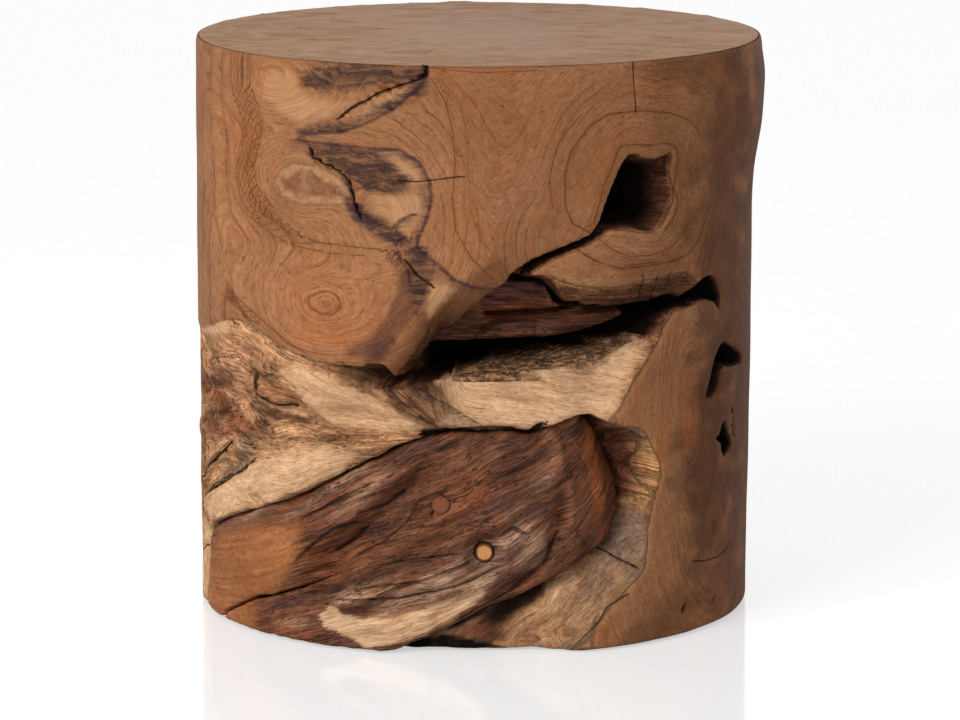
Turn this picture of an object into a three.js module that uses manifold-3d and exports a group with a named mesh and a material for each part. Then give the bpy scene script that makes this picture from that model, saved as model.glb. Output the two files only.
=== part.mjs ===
// A drum stool sawn from one teak root, with two loose root limbs pegged into its front.
// Millimetres, +Z up. The origin is on the floor under the middle of the drum, and the front faces -Y.
// Angles are in degrees round the drum: 0 is the front, 90 is the right-hand side (+X), -90 the left.
import * as THREE from "three";
import { mergeVertices } from "three/addons/utils/BufferGeometryUtils.js";
import Module from "manifold-3d";

const wasm = await Module();
wasm.setup();

// Driving dimensions of the whole stool
const drumWidth = 406;
const stoolHeight = 412;
const padThickness = 3;
const fitGap = 0.3;
const cutOverrun = 30;

// Rounded edges and the natural wander of the sanded wall
const topEdgeRound = 4;
const footEdgeRound = 5;
const rightWaistDepth = 7;
const footTaperDepth = 3.5;
const backWanderDepth = 4;

// Depths of the natural, unsanded surfaces behind the sanded wall
const flankDepth = 4;
const flankInnerDepth = 20;
const lipFall = 7;
const ledgeFrontDepth = 14;
const ledgeFloorDepth = 84;
const ledgeRoll = 12;
const funnelDepth = 58;
const funnelWidth = 15;
const ridgeFall = 9;
const crownFootDepth = 12;
const crownFootRise = 27;
const troughTopDepth = 42;
const troughFootDepth = 32;
const creaseDepth = 16;
const creaseWidth = 26;

// How far the hollows run in from the wall
const hollowDepth = 121;
const holeDepth = 107;
const slitDepth = 45;
const tearDepth = 85;
const scoopDepth = 31;
const slotDepth = 53;
const knotHoleDepth = 45;
const bowlDepth = 55;

// The flat sawn seat of the two limbs, and the relief of their weathered faces
const seatDepth = 115;
const limbTopDepth = 13;
const limbMidDepth = 9;
const valleyDepth = 15;
const valleyWidth = 24;
const lowerValleyDepth = 9;
const lowerValleyWidth = 16;
const sideFaceDepth = 22;
const crackWidth = 2.4;
const crackTipWidth = 0.5;

// Root strand that crosses the main hollow, measured in from the wall
const strandFaceDepth = 42;
const strandRootDepth = 133;

// Pegs and pads
const pegWidth = 12.4;
const pegEdge = 0.8;
const pegProud = 1.2;
const pegBite = 30;
const padWidth = 38;
const padRingRadius = 152;

const drumRadius = drumWidth / 2;
const footHeight = padThickness;
const seatReach = drumRadius - seatDepth;
const strandFaceReach = drumRadius - strandFaceDepth;
const strandRootReach = drumRadius - strandRootDepth;

// Azimuths that the flat cuts face
const limbFacing = -18;
const bowlFacing = 32;
const hollowFacing = 10;
const holeFacing = 33;
const tearFacing = 54;
const scoopFacing = 61;
const knotHoleFacing = 62;

// Places on the wall: [angle in degrees, share of the stool's height]
const crownLipShares = [
  [-150, 0.471], [-128, 0.485], [-108, 0.498], [-85, 0.493], [-77, 0.505], [-64, 0.532],
  [-55, 0.541], [-48, 0.532], [-40, 0.512], [-32, 0.493], [-25, 0.488], [-19, 0.495],
  [-13, 0.471], [-9.6, 0.473], [-7.8, 0.505], [-5.3, 0.556], [1, 0.612], [7, 0.641], [18, 0.6],
  [30, 0.583], [46, 0.592], [60, 0.57],
];
const ridgeShares = [
  [22, 0.381], [27, 0.391], [30, 0.408], [32, 0.432], [34, 0.461], [37, 0.493], [41, 0.544],
  [46, 0.583], [60, 0.619],
];
const hollowMouthShares = [
  [-8.4, 0.485], [-7.8, 0.505], [-7, 0.529], [-5.3, 0.556], [-2, 0.587], [1, 0.612], [5, 0.636],
  [8, 0.648], [12, 0.65], [15, 0.643], [16.4, 0.619], [17.5, 0.601], [20, 0.59], [27, 0.584],
  [38, 0.585], [43, 0.586], [46.5, 0.583], [46.5, 0.574], [43, 0.567], [40.5, 0.551],
  [38.6, 0.532], [35, 0.519], [27, 0.507], [15, 0.493], [5, 0.487], [-4, 0.485],
];
const upperHoleShares = [
  [21.5, 0.699], [23.1, 0.718], [24.4, 0.734], [25.6, 0.762], [27, 0.79], [28.4, 0.816],
  [29.6, 0.835], [31, 0.845], [34.6, 0.834], [37, 0.832], [39.4, 0.835], [41.4, 0.842],
  [41.5, 0.828], [40.6, 0.815], [42.4, 0.777], [42.6, 0.759], [41.4, 0.739], [39.6, 0.718],
  [37.2, 0.709], [33.5, 0.713], [29.9, 0.718], [26.6, 0.721], [24.6, 0.71],
];
const slitShares = [
  [4, 0.626], [6.5, 0.656], [10.1, 0.675], [14.1, 0.689], [18.2, 0.7], [22.5, 0.714],
  [24.6, 0.726], [26.4, 0.723], [24.6, 0.709], [21.4, 0.697], [17.2, 0.683], [13.1, 0.669],
  [10.4, 0.655], [9, 0.631],
];
const tearHoleShares = [
  [44, 0.572], [47, 0.584], [49.6, 0.6], [52.3, 0.615], [55.2, 0.617], [57.8, 0.602],
  [59.3, 0.578], [59, 0.553], [56.5, 0.572], [52.6, 0.579], [49.2, 0.576], [46, 0.569],
];
const scoopShares = [
  [53.6, 0.405], [55.4, 0.434], [57.2, 0.47], [59.5, 0.49], [62, 0.493], [65, 0.482],
  [66.6, 0.461], [66, 0.447], [61.2, 0.451], [59.6, 0.447], [58.6, 0.415], [56, 0.404],
];
const slotShares = [
  [58, 0.461], [61, 0.478], [66, 0.476], [70.5, 0.464], [72.8, 0.454], [72, 0.443], [66.6, 0.444],
  [60, 0.451],
];
const knotHoleShares = [
  [57, 0.327], [60, 0.333], [60.6, 0.348], [62.4, 0.357], [63.6, 0.342], [66, 0.321],
  [66.6, 0.308], [64, 0.299], [62.3, 0.29], [60.8, 0.305], [60.4, 0.321],
];
const troughEdgeShares = [
  [2, -0.049], [18, -0.007], [21.5, 0.01], [23.3, 0.024], [25.5, 0.05], [28.4, 0.075],
  [31.5, 0.096], [34.4, 0.117], [36.4, 0.133], [36.7, 0.163], [36.5, 0.199], [37.5, 0.235],
  [38.6, 0.262], [39, 0.291], [38, 0.325], [36, 0.359], [33, 0.376], [28, 0.388], [22, 0.4],
];
const troughInnerShares = [
  [-22, -0.049], [-18, 0], [-14.5, 0.015], [-10.6, 0.027], [-4.8, 0.046], [1.2, 0.069],
  [6.5, 0.085], [11.7, 0.102], [20.4, 0.131], [26.7, 0.16], [31.5, 0.175], [33.6, 0.192],
  [35.2, 0.228], [35, 0.279], [33.4, 0.33], [31.2, 0.362], [28, 0.388], [24, 0.404],
];
const limbEndShares = [
  [-74.5, -0.049], [-74.5, 0.073], [-74, 0.131], [-71, 0.163], [-60.5, 0.194], [-51.7, 0.218],
];
const limbTopShares = [
  [-44.2, 0.243], [-37.2, 0.267], [-31, 0.294], [-25, 0.32], [-19.4, 0.345], [-14, 0.362],
  [-10, 0.369], [-4.9, 0.376], [0.2, 0.374], [8.3, 0.375], [11.4, 0.369], [14.5, 0.381],
  [17.7, 0.393], [21, 0.403],
];
const crackShares = [
  [-71, -0.049], [-66, 0.002], [-61.7, 0.024], [-55.7, 0.046], [-51.3, 0.062], [-45.9, 0.074],
  [-40.9, 0.09], [-36.2, 0.106], [-31.3, 0.124], [-27.8, 0.136], [-21.8, 0.153], [-16.3, 0.174],
  [-13, 0.199], [-11, 0.226], [-9.4, 0.243], [-7, 0.272], [-4, 0.306], [-2, 0.34], [0, 0.425],
];
const creaseShares = [
  [-34, 0.345], [-24, 0.36], [-14, 0.378], [-4, 0.383], [6, 0.386],
];
const valleyShares = [
  [-46, 0.1], [-38, 0.135], [-30, 0.175], [-22, 0.225], [-16, 0.28],
];
const lowerValleyShares = [
  [-24, 0.085], [-14, 0.11], [-4, 0.14], [6, 0.19], [12, 0.26],
];
const limbRidgeShares = [
  [-16, 0], [-8, 0.034], [-1.9, 0.075], [4.4, 0.106], [10.8, 0.138], [15.6, 0.171], [18.7, 0.203],
  [19.4, 0.25], [19.6, 0.301], [20.7, 0.347], [21.4, 0.379], [22.7, 0.408],
];
const limbCutLineShares = [[-52, 0.083], [-30, 0.019], [-14, -0.05]];
const ledgeTopShares = [
  [-20, 0.447], [-14, 0.464], [-8, 0.481], [-4, 0.489], [0, 0.489], [8.6, 0.481], [17, 0.49],
  [26, 0.507], [32.6, 0.516], [36.5, 0.527], [41, 0.553],
];
const crownFootShares = [[15, 0.62], [17.5, 0.601], [20, 0.59], [27, 0.584], [46, 0.583]];
const funnelShares = [
  [-13, 0.461], [-12.4, 0.495], [-10.6, 0.529], [-8.2, 0.563], [-6, 0.595], [-2, 0.624],
];
const bowlShares = [
  [24, 0.396], [29, 0.379], [30.5, 0.371], [32.5, 0.376], [34.4, 0.375], [36.4, 0.354],
  [38.2, 0.328], [39.4, 0.311], [39.6, 0.286], [38.4, 0.262], [35.6, 0.24], [32.4, 0.221],
  [29, 0.204], [24, 0.184], [18, 0.175], [18, 0.383],
];
// Where each relief begins and how far it takes to build up: shares of the height, and degrees round the drum
const waistTopShare = 0.97;
const waistRunShare = 0.25;
const wanderWaves = 3;
const wanderTwist = 4;
const flankStart = -150;
const flankStartRun = 40;
const flankEnd = 24;
const flankEndRun = 20;
const flankDeepest = -15;
const flankDeepeningRun = 60;
const ledgeStart = -34;
const ledgeStartRun = 22;
const ledgeFootShare = 0.3;
const crownFootStart = 13;
const crownFootEnd = 52;
const crownFootRun = 8;
const funnelTopShare = 0.629;
const funnelRunShare = 0.126;
const troughRoofShare = 0.42;
const troughRoofRunShare = 0.06;
const troughDeepShare = 0.03;
const troughDeepRunShare = 0.2;
const troughUnderLimb = 16;
const troughUnderLimbRun = 8;
const sandedEndAngle = -62;
const sandedEndRun = 24;
const sandedFootRunShare = 0.07;
const underLedgeShare = 0.243;
const underLedgeRunShare = 0.112;
const underLedgeAngle = -46;
const underLedgeRun = 24;

const strandShares = [
  [-13, 0.519], [-12, 0.563], [-8, 0.595], [-1, 0.631], [6, 0.654], [12, 0.655], [14.4, 0.648],
  [15, 0.631], [16.2, 0.612], [17.2, 0.595], [20, 0.584], [27, 0.579], [33, 0.579], [36.4, 0.573],
  [36.6, 0.553], [33, 0.544], [29, 0.537], [22, 0.532], [15, 0.527], [6, 0.525], [-6, 0.522],
];

// Each hollow: its mouth, the azimuth it faces, its depth and the share of its size left there
const hollowShares = [
  { places: hollowMouthShares, facing: hollowFacing, depth: hollowDepth, innerShare: 0.85 },
  { places: upperHoleShares, facing: holeFacing, depth: holeDepth, innerShare: 0.6 },
  { places: slitShares, facing: hollowFacing, depth: slitDepth, innerShare: 0.9 },
  { places: tearHoleShares, facing: tearFacing, depth: tearDepth, innerShare: 0.6 },
  { places: scoopShares, facing: scoopFacing, depth: scoopDepth, innerShare: 0.7 },
  { places: slotShares, facing: scoopFacing, depth: slotDepth, innerShare: 0.7 },
  { places: knotHoleShares, facing: knotHoleFacing, depth: knotHoleDepth, innerShare: 0.5 },
  { places: bowlShares, facing: bowlFacing, depth: bowlDepth, innerShare: 0.7 },
];
const strandRootShare = 0.8;
const crackOpenShare = 0.45;
const edgeRingShares = [0.13, 0.45];

// Facets: [front start, front end, steps across the front, steps round the back], rows and sides
const blockColumns = [-96, 84, 54, 19];
const limbColumns = [-81, 37, 40, 10];
const blockRows = 42;
const limbRows = 44;
const pegSides = 20;
const padSides = 28;

// Peg ends: [angle in degrees, share of the stool's height]
const lowerPegShares = [1.1, 0.174];
const upperPegShares = [-7.4, 0.259];
const padAngles = [-50, 45, 135, 222];

// Finishes
function finish(name, color, roughness) {
  return new THREE.MeshStandardMaterial({ name, color, roughness, metalness: 0 });
}

const sandedTeak = finish("sanded_teak", 0x99683f, 0.55);
const weatheredTeak = finish("weathered_teak", 0x74503a, 0.7);
const pegTeak = finish("peg_teak", 0xc98f4e, 0.6);
const felt = finish("felt", 0x4a3b30, 0.95);

const radians = THREE.MathUtils.degToRad;
const smooth = (t) => THREE.MathUtils.smoothstep(t, 0, 1);
const falloff = (distance, reach) => smooth(1 - distance / reach);

// Value of a line drawn through [x, y] points, held level past its ends
function lineAt(points, x) {
  if (x <= points[0][0]) return points[0][1];
  for (let i = 1; i < points.length; i++) {
    const [x0, y0] = points[i - 1];
    const [x1, y1] = points[i];
    if (x <= x1) return y0 + ((y1 - y0) * (x - x0)) / (x1 - x0);
  }
  return points[points.length - 1][1];
}

// The same line read the other way: the angle at a height share
const angleAt = (points, share) => lineAt(points.map(([angle, s]) => [s, angle]), share);

// Distance along the wall, in millimetres, from a place to a path of places
function distanceTo(path, angle, height) {
  let nearest = Infinity;
  const flat = path.map(([a, s]) => [drumRadius * radians(a - angle), s * stoolHeight - height]);
  for (let i = 1; i < flat.length; i++) {
    const [ax, ay] = flat[i - 1];
    const [bx, by] = flat[i];
    const lengthSquared = (bx - ax) ** 2 + (by - ay) ** 2;
    const t = THREE.MathUtils.clamp(-(ax * (bx - ax) + ay * (by - ay)) / lengthSquared, 0, 1);
    nearest = Math.min(nearest, Math.hypot(ax + t * (bx - ax), ay + t * (by - ay)));
  }
  return nearest;
}

// How far the sanded wall stands in from the drum's full radius
function wallSetback(angle, height) {
  const share = height / stoolHeight;
  const turn = radians(angle);
  const rightSide = Math.max(0, Math.sin(turn)) ** 2;
  const backSide = Math.max(0, -Math.cos(turn));
  const belowTop = smooth((waistTopShare - share) / waistRunShare);
  const wander = (1 + Math.sin(wanderWaves * turn + wanderTwist * share)) / 2;
  const taper = footTaperDepth * smooth(1 - 2 * share) * rightSide;
  return rightWaistDepth * rightSide * belowTop + backWanderDepth * backSide * belowTop * wander + taper;
}

// Rounding of the top and foot edges
function edgeSetback(height) {
  const fromTop = stoolHeight - height;
  const fromFoot = height - footHeight;
  const quarter = (round, h) => round - Math.sqrt(Math.max(0, round ** 2 - (round - h) ** 2));
  const atTop = fromTop < topEdgeRound ? quarter(topEdgeRound, fromTop) : 0;
  const atFoot = fromFoot < footEdgeRound ? quarter(footEdgeRound, fromFoot) : 0;
  return atTop + atFoot;
}

// Unsanded left flank, from under the crown's lip down to the floor
function flankSetback(angle, height) {
  const underLip = lineAt(crownLipShares, angle) * stoolHeight - height;
  const around = smooth((angle - flankStart) / flankStartRun) * smooth((flankEnd - angle) / flankEndRun);
  const deepening = smooth((angle - flankDeepest + flankDeepeningRun) / flankDeepeningRun);
  const depth = THREE.MathUtils.lerp(flankDepth, flankInnerDepth, deepening);
  return depth * smooth(underLip / lipFall) * around;
}

// Sapwood ledge: a steep front that rolls over into the flat floor of the main hollow
function ledgeSetback(angle, height) {
  const share = height / stoolHeight;
  if (angle < ledgeStart || share > lineAt(crownLipShares, angle) || share < ledgeFootShare) return 0;
  const fromRidge = smooth((angleAt(ridgeShares, share) - angle) / ridgeFall);
  const fromStart = smooth((angle - ledgeStart) / ledgeStartRun);
  const overTop = smooth((height - lineAt(ledgeTopShares, angle) * stoolHeight) / ledgeRoll);
  return fromRidge * fromStart * (ledgeFrontDepth + ledgeFloorDepth * overTop);
}

// Concave channel that runs down the crown into the left end of the main hollow
function funnelSetback(angle, height) {
  const fallen = (funnelTopShare - height / stoolHeight) / funnelRunShare;
  const near = falloff(distanceTo(funnelShares, angle, height), funnelWidth);
  return funnelDepth * THREE.MathUtils.clamp(fallen, 0, 1) ** 2 * near;
}

// Underside of the crown, which turns in above the right half of the main hollow
function crownFootSetback(angle, height) {
  const above = height - lineAt(crownFootShares, angle) * stoolHeight;
  if (above < 0) return 0;
  const around = smooth((angle - crownFootStart) / crownFootRun) * smooth((crownFootEnd - angle) / crownFootRun);
  return crownFootDepth * around * smooth(1 - above / crownFootRise);
}

// Trough between the limbs and the sanded right-hand side
function troughSetback(angle, height) {
  const share = height / stoolHeight;
  const outer = angleAt(troughEdgeShares, share);
  const inner = angleAt(troughInnerShares, share);
  const underLimb = smooth((angle - inner + troughUnderLimb) / troughUnderLimbRun);
  if (share > troughRoofShare || angle > outer || underLimb === 0) return 0;
  const across = THREE.MathUtils.clamp((outer - angle) / Math.max(outer - inner, 1), 0, 1);
  const upper = smooth((share - troughDeepShare) / troughDeepRunShare);
  const bowl = THREE.MathUtils.lerp(across ** 4, Math.sin((across * Math.PI) / 2), upper);
  const roof = smooth((troughRoofShare - share) / troughRoofRunShare);
  return bowl * underLimb * roof * THREE.MathUtils.lerp(troughFootDepth, troughTopDepth, upper);
}

function blockRadius(angle, height) {
  const crease = creaseDepth * falloff(distanceTo(creaseShares, angle, height), creaseWidth);
  const flank = flankSetback(angle, height) + crease;
  const hollow = Math.max(ledgeSetback(angle, height), funnelSetback(angle, height));
  const natural = Math.max(flank, hollow, crownFootSetback(angle, height), troughSetback(angle, height));
  return drumRadius - wallSetback(angle, height) - edgeSetback(height) - natural;
}

// Face of the two limbs: sanded flush at the left end, weathered and folded towards the right
function limbRadius(angle, height) {
  const share = height / stoolHeight;
  const aboveCut = smooth((share - lineAt(limbCutLineShares, angle)) / sandedFootRunShare);
  const weathered = smooth((angle - sandedEndAngle) / sandedEndRun) * aboveCut;
  const underTop = smooth((share - underLedgeShare) / underLedgeRunShare);
  const underLedge = limbTopDepth * underTop * smooth((angle - underLedgeAngle) / underLedgeRun);
  const valley = valleyDepth * falloff(distanceTo(valleyShares, angle, height), valleyWidth);
  const fold = lowerValleyDepth * falloff(distanceTo(lowerValleyShares, angle, height), lowerValleyWidth);
  const ridge = angleAt(limbRidgeShares, share);
  const edge = Math.max(angleAt(troughInnerShares, share), ridge + 1);
  const turned = 2 * sideFaceDepth * smooth((angle - ridge) / (edge - ridge) / 2);
  const relief = weathered * (limbMidDepth + valley + fold) + underLedge + turned;
  return drumRadius - wallSetback(angle, height) - edgeSetback(height) - relief;
}

function solidFrom(geometry) {
  const bare = new THREE.BufferGeometry().setAttribute("position", geometry.getAttribute("position"));
  if (geometry.index) bare.setIndex(geometry.index);
  const merged = mergeVertices(bare, 1e-4);
  const mesh = new wasm.Mesh({
    numProp: 3,
    vertProperties: new Float32Array(merged.attributes.position.array),
    triVerts: new Uint32Array(merged.index.array),
  });
  return new wasm.Manifold(mesh);
}

function meshFrom(solid, name, material) {
  const made = solid.getMesh();
  const corners = new Float32Array(made.vertProperties);
  const geometry = new THREE.BufferGeometry();
  geometry.setAttribute("position", new THREE.BufferAttribute(corners, made.numProp));
  geometry.setIndex(new THREE.BufferAttribute(new Uint32Array(made.triVerts), 1));
  geometry.computeVertexNormals();
  const mesh = new THREE.Mesh(geometry, material);
  mesh.name = name;
  return mesh;
}

const onWall = (angle, radius, height) => [
  radius * Math.sin(radians(angle)),
  -radius * Math.cos(radians(angle)),
  height,
];

// A turned body whose radius changes with angle and height, closed by flat discs
function drumSolid(radiusAt, angles, heights) {
  const points = [];
  const faces = [];
  for (const height of heights) {
    for (const angle of angles) points.push(onWall(angle, radiusAt(angle, height), height));
  }
  const columns = angles.length;
  const at = (row, column) => row * columns + (column % columns);
  for (let row = 0; row + 1 < heights.length; row++) {
    for (let column = 0; column < columns; column++) {
      const [a, b] = [at(row, column), at(row, column + 1)];
      const [c, d] = [at(row + 1, column), at(row + 1, column + 1)];
      faces.push(a, b, d, a, d, c);
    }
  }
  const foot = points.push([0, 0, heights[0]]) - 1;
  const top = points.push([0, 0, heights[heights.length - 1]]) - 1;
  const last = heights.length - 1;
  for (let column = 0; column < columns; column++) {
    faces.push(foot, at(0, column + 1), at(0, column));
    faces.push(top, at(last, column), at(last, column + 1));
  }
  const geometry = new THREE.BufferGeometry();
  geometry.setAttribute("position", new THREE.Float32BufferAttribute(points.flat(), 3));
  geometry.setIndex(faces);
  return solidFrom(geometry);
}

// Places at a depth behind the wall, laid out flat as [across, up] and seen straight on from one azimuth
function faceOn(places, facing, depth = 0) {
  const across = (angle) => (drumRadius - depth) * Math.sin(radians(angle - facing));
  return places.map(([angle, share]) => [across(angle), share * stoolHeight]);
}

// The outline moved outwards by a distance, each corner along the mean of its two edges' normals
function grown(outline, distance) {
  const side = THREE.ShapeUtils.isClockWise(outline.map(([x, y]) => ({ x, y }))) ? -1 : 1;
  return outline.map(([x, y], i) => {
    const [px, py] = outline[(i + outline.length - 1) % outline.length];
    const [nx, ny] = outline[(i + 1) % outline.length];
    const before = new THREE.Vector2(y - py, px - x).normalize();
    const after = new THREE.Vector2(ny - y, x - nx).normalize();
    const normal = before.clone().add(after).normalize();
    const stretch = (side * distance) / Math.max(normal.dot(before), 0.5);
    return [x + normal.x * stretch, y + normal.y * stretch];
  });
}

// A closed loft of one outline along a horizontal azimuth.
// Each station is [reach from the axis, share of the outline's size].
function loftSolid(outline, facing, stations) {
  const contour = outline.map(([x, y]) => new THREE.Vector2(x, y));
  const turned = THREE.ShapeUtils.isClockWise(contour) ? contour.reverse() : contour;
  const count = turned.length;
  const middle = turned.reduce((sum, point) => sum.add(point), new THREE.Vector2()).divideScalar(count);
  const across = new THREE.Vector3(Math.cos(radians(facing)), Math.sin(radians(facing)), 0);
  const outward = new THREE.Vector3(Math.sin(radians(facing)), -Math.cos(radians(facing)), 0);
  const points = [];
  for (const [reach, share] of stations) {
    for (const point of turned) {
      const drawn = middle.clone().lerp(point, share);
      const place = across.clone().multiplyScalar(drawn.x).addScaledVector(outward, reach);
      points.push(place.x, place.y, drawn.y);
    }
  }
  const faces = [];
  const last = (stations.length - 1) * count;
  for (const [a, b, c] of THREE.ShapeUtils.triangulateShape(turned, [])) {
    faces.push(c, b, a, last + a, last + b, last + c);
  }
  for (let ring = 0; ring < last; ring += count) {
    for (let i = 0; i < count; i++) {
      const next = (i + 1) % count;
      faces.push(ring + i, ring + next, ring + count + next, ring + i, ring + count + next, ring + count + i);
    }
  }
  const geometry = new THREE.BufferGeometry();
  geometry.setAttribute("position", new THREE.Float32BufferAttribute(points, 3));
  geometry.setIndex(faces);
  return solidFrom(geometry);
}

// A hollow that narrows from the wall inwards
function pocket({ places, facing, depth, innerShare }) {
  const mouth = drumRadius + cutOverrun;
  const reach = drumRadius - depth;
  const halfway = (mouth + reach) / 2;
  return loftSolid(faceOn(places, facing), facing, [
    [reach, innerShare], [halfway, (1 + innerShare) / 2], [drumRadius, 1], [mouth, 1],
  ]);
}

// Evenly spaced values from one end to the other, both included
function spread(from, to, steps) {
  return Array.from({ length: steps + 1 }, (_, i) => from + ((to - from) * i) / steps);
}

// Angles of the wall's columns: fine on the carved front, coarse round the back, last one short of a full turn
function columnAngles(frontStart, frontEnd, frontSteps, backSteps) {
  const back = spread(frontEnd, frontStart + 360, backSteps + 1).slice(1, -1);
  return [...spread(frontStart, frontEnd, frontSteps), ...back];
}

function wallHeights(steps) {
  return [
    footHeight,
    ...edgeRingShares.map((share) => footHeight + footEdgeRound * share),
    ...spread(footHeight + footEdgeRound, stoolHeight - topEdgeRound, steps),
    stoolHeight - topEdgeRound * edgeRingShares[1],
    stoolHeight,
  ];
}

// Where a peg lies: its place across the front, its height, how far out its end reaches and its length.
// It goes right through the limb and bites into the block behind the seat.
function pegPlace([angle, share]) {
  const across = drumRadius * Math.sin(radians(angle));
  const height = share * stoolHeight;
  const endReach = limbRadius(angle, height) + pegProud;
  const seatAt = (seatReach - across * Math.sin(radians(limbFacing))) / Math.cos(radians(limbFacing));
  return { across, height, endReach, length: endReach - seatAt + pegBite };
}

function pegHole(place) {
  const radius = pegWidth / 2 + fitGap;
  const depth = place.length + fitGap;
  const geometry = new THREE.CylinderGeometry(radius, radius, depth + cutOverrun, pegSides);
  geometry.translate(place.across, (depth - cutOverrun) / 2 - place.endReach, place.height);
  return solidFrom(geometry);
}

function pegMesh(place, name) {
  const radius = pegWidth / 2;
  const profile = [
    [0, 0], [radius - pegEdge, 0], [radius, pegEdge], [radius, place.length - pegEdge],
    [radius - pegEdge, place.length], [0, place.length],
  ].map(([x, y]) => new THREE.Vector2(x, y));
  const mesh = new THREE.Mesh(new THREE.LatheGeometry(profile, pegSides), pegTeak);
  mesh.name = name;
  mesh.position.set(place.across, -place.endReach, place.height);
  return mesh;
}

function padMesh(angle, name) {
  const geometry = new THREE.CylinderGeometry(padWidth / 2, padWidth / 2, padThickness, padSides);
  const mesh = new THREE.Mesh(geometry, felt);
  mesh.name = name;
  mesh.rotation.x = Math.PI / 2;
  mesh.position.set(...onWall(angle, padRingRadius, padThickness / 2));
  return mesh;
}

// The part of the limb outline on one side of the crack, closed far outside the drum
function besideCrack(above, gap) {
  const far = 2 * stoolHeight;
  const line = faceOn(crackShares, limbFacing);
  const moved = line.map(([x, y], i) => {
    const along = i / (line.length - 1) / crackOpenShare;
    const open = THREE.MathUtils.lerp(gap, crackTipWidth / 2, smooth(along));
    return [x - (above ? open : -open) / 2, y + (above ? open : -open)];
  });
  const corner = above ? [[far, far], [-far, far], [-far, -far]] : [[far, far], [far, -far]];
  return loftSolid([...moved, ...corner], limbFacing, [[0, 1], [drumRadius + cutOverrun, 1]]);
}

const lowerPeg = pegPlace(lowerPegShares);
const upperPeg = pegPlace(upperPegShares);

// Outline of the two limbs together: the sanded end, the top edge under the ledge and the side of the trough
function limbOutline() {
  return [
    ...faceOn(limbEndShares, limbFacing),
    ...faceOn(limbTopShares, limbFacing, limbMidDepth + limbTopDepth),
    ...faceOn([...troughInnerShares].reverse(), limbFacing, limbMidDepth + sideFaceDepth),
  ];
}

function limbBlank() {
  const stations = [[seatReach, 1], [drumRadius + cutOverrun, 1]];
  const faces = drumSolid(limbRadius, columnAngles(...limbColumns), wallHeights(limbRows));
  return faces.intersect(loftSolid(grown(limbOutline(), -fitGap), limbFacing, stations));
}

function seatCutter() {
  return loftSolid(limbOutline(), limbFacing, [[seatReach - fitGap, 1], [drumRadius + cutOverrun, 1]]);
}

function strandSolid(gap, overrun) {
  const outline = grown(faceOn(strandShares, hollowFacing, strandFaceDepth), gap);
  const stations = [[strandRootReach - gap, strandRootShare], [strandFaceReach + overrun, 1]];
  return loftSolid(outline, hollowFacing, stations);
}

function rootBlock() {
  const cutters = [
    ...hollowShares.map(pocket),
    seatCutter(),
    strandSolid(fitGap, 0),
    pegHole(lowerPeg),
    pegHole(upperPeg),
  ];
  const wall = drumSolid(blockRadius, columnAngles(...blockColumns), wallHeights(blockRows));
  return cutters.reduce((block, cutter) => block.subtract(cutter), wall);
}

const stool = new THREE.Group();
const blank = limbBlank().subtract(pegHole(lowerPeg)).subtract(pegHole(upperPeg));
stool.add(meshFrom(rootBlock(), "root_block", sandedTeak));
stool.add(meshFrom(blank.intersect(besideCrack(true, crackWidth)), "upper_limb", weatheredTeak));
stool.add(meshFrom(blank.intersect(besideCrack(false, crackWidth)), "lower_limb", weatheredTeak));
stool.add(meshFrom(strandSolid(0, 0), "hollow_strand", weatheredTeak));
stool.add(pegMesh(lowerPeg, "lower_peg"));
stool.add(pegMesh(upperPeg, "upper_peg"));
padAngles.forEach((angle, i) => stool.add(padMesh(angle, `felt_pad_${i + 1}`)));

export default stool;
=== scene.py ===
import math

import bpy
import numpy as np
from bpy.props import FloatProperty, FloatVectorProperty, IntProperty, PointerProperty
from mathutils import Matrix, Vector


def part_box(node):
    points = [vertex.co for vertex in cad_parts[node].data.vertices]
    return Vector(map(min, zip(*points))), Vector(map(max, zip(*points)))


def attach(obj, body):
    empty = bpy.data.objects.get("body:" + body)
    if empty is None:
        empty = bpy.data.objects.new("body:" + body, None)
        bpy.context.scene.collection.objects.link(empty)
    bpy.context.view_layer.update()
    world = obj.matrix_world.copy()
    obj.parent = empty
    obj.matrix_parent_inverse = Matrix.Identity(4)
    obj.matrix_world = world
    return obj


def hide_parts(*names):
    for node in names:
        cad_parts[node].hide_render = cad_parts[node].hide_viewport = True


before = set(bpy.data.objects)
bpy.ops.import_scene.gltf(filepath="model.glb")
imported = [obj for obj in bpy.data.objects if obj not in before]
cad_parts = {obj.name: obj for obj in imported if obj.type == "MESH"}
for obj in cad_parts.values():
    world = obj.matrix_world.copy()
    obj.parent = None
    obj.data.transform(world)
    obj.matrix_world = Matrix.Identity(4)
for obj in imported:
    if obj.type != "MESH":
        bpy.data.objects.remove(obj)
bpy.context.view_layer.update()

bl_info = {
    "name": "Root drum stool",
    "version": (1, 0, 0),
    "blender": (4, 5, 0),
    "location": "3D View > Sidebar > Root Stool",
    "description": "Carves a drum stool from one teak root, with its pegged limbs, and lights it",
    "category": "Object",
}

# Sizes in millimetres, worked out from the frame. Angles are degrees round the drum: 0 is the front, 90 the right.
MM = 0.001
block_low, block_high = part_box("root_block")
DRUM_RADIUS = (block_high.x - block_low.x) / 2 / MM
STOOL_HEIGHT = block_high.z / MM
FOOT_HEIGHT = block_low.z / MM - 1.5
DRAWN_HEIGHT = 412.0
TALL = STOOL_HEIGHT / DRAWN_HEIGHT
ARC = math.radians(1) * DRUM_RADIUS
PEG_WIDTH = (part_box("lower_peg")[1].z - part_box("lower_peg")[0].z) / MM
PAD_WIDTH = (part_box("felt_pad_1")[1].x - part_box("felt_pad_1")[0].x) / MM
FAR = 999.0
MIDDLE_RINGS = (44, 22)
SPLINTER_LENGTH = 5
PEG_SIDES = 36


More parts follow.
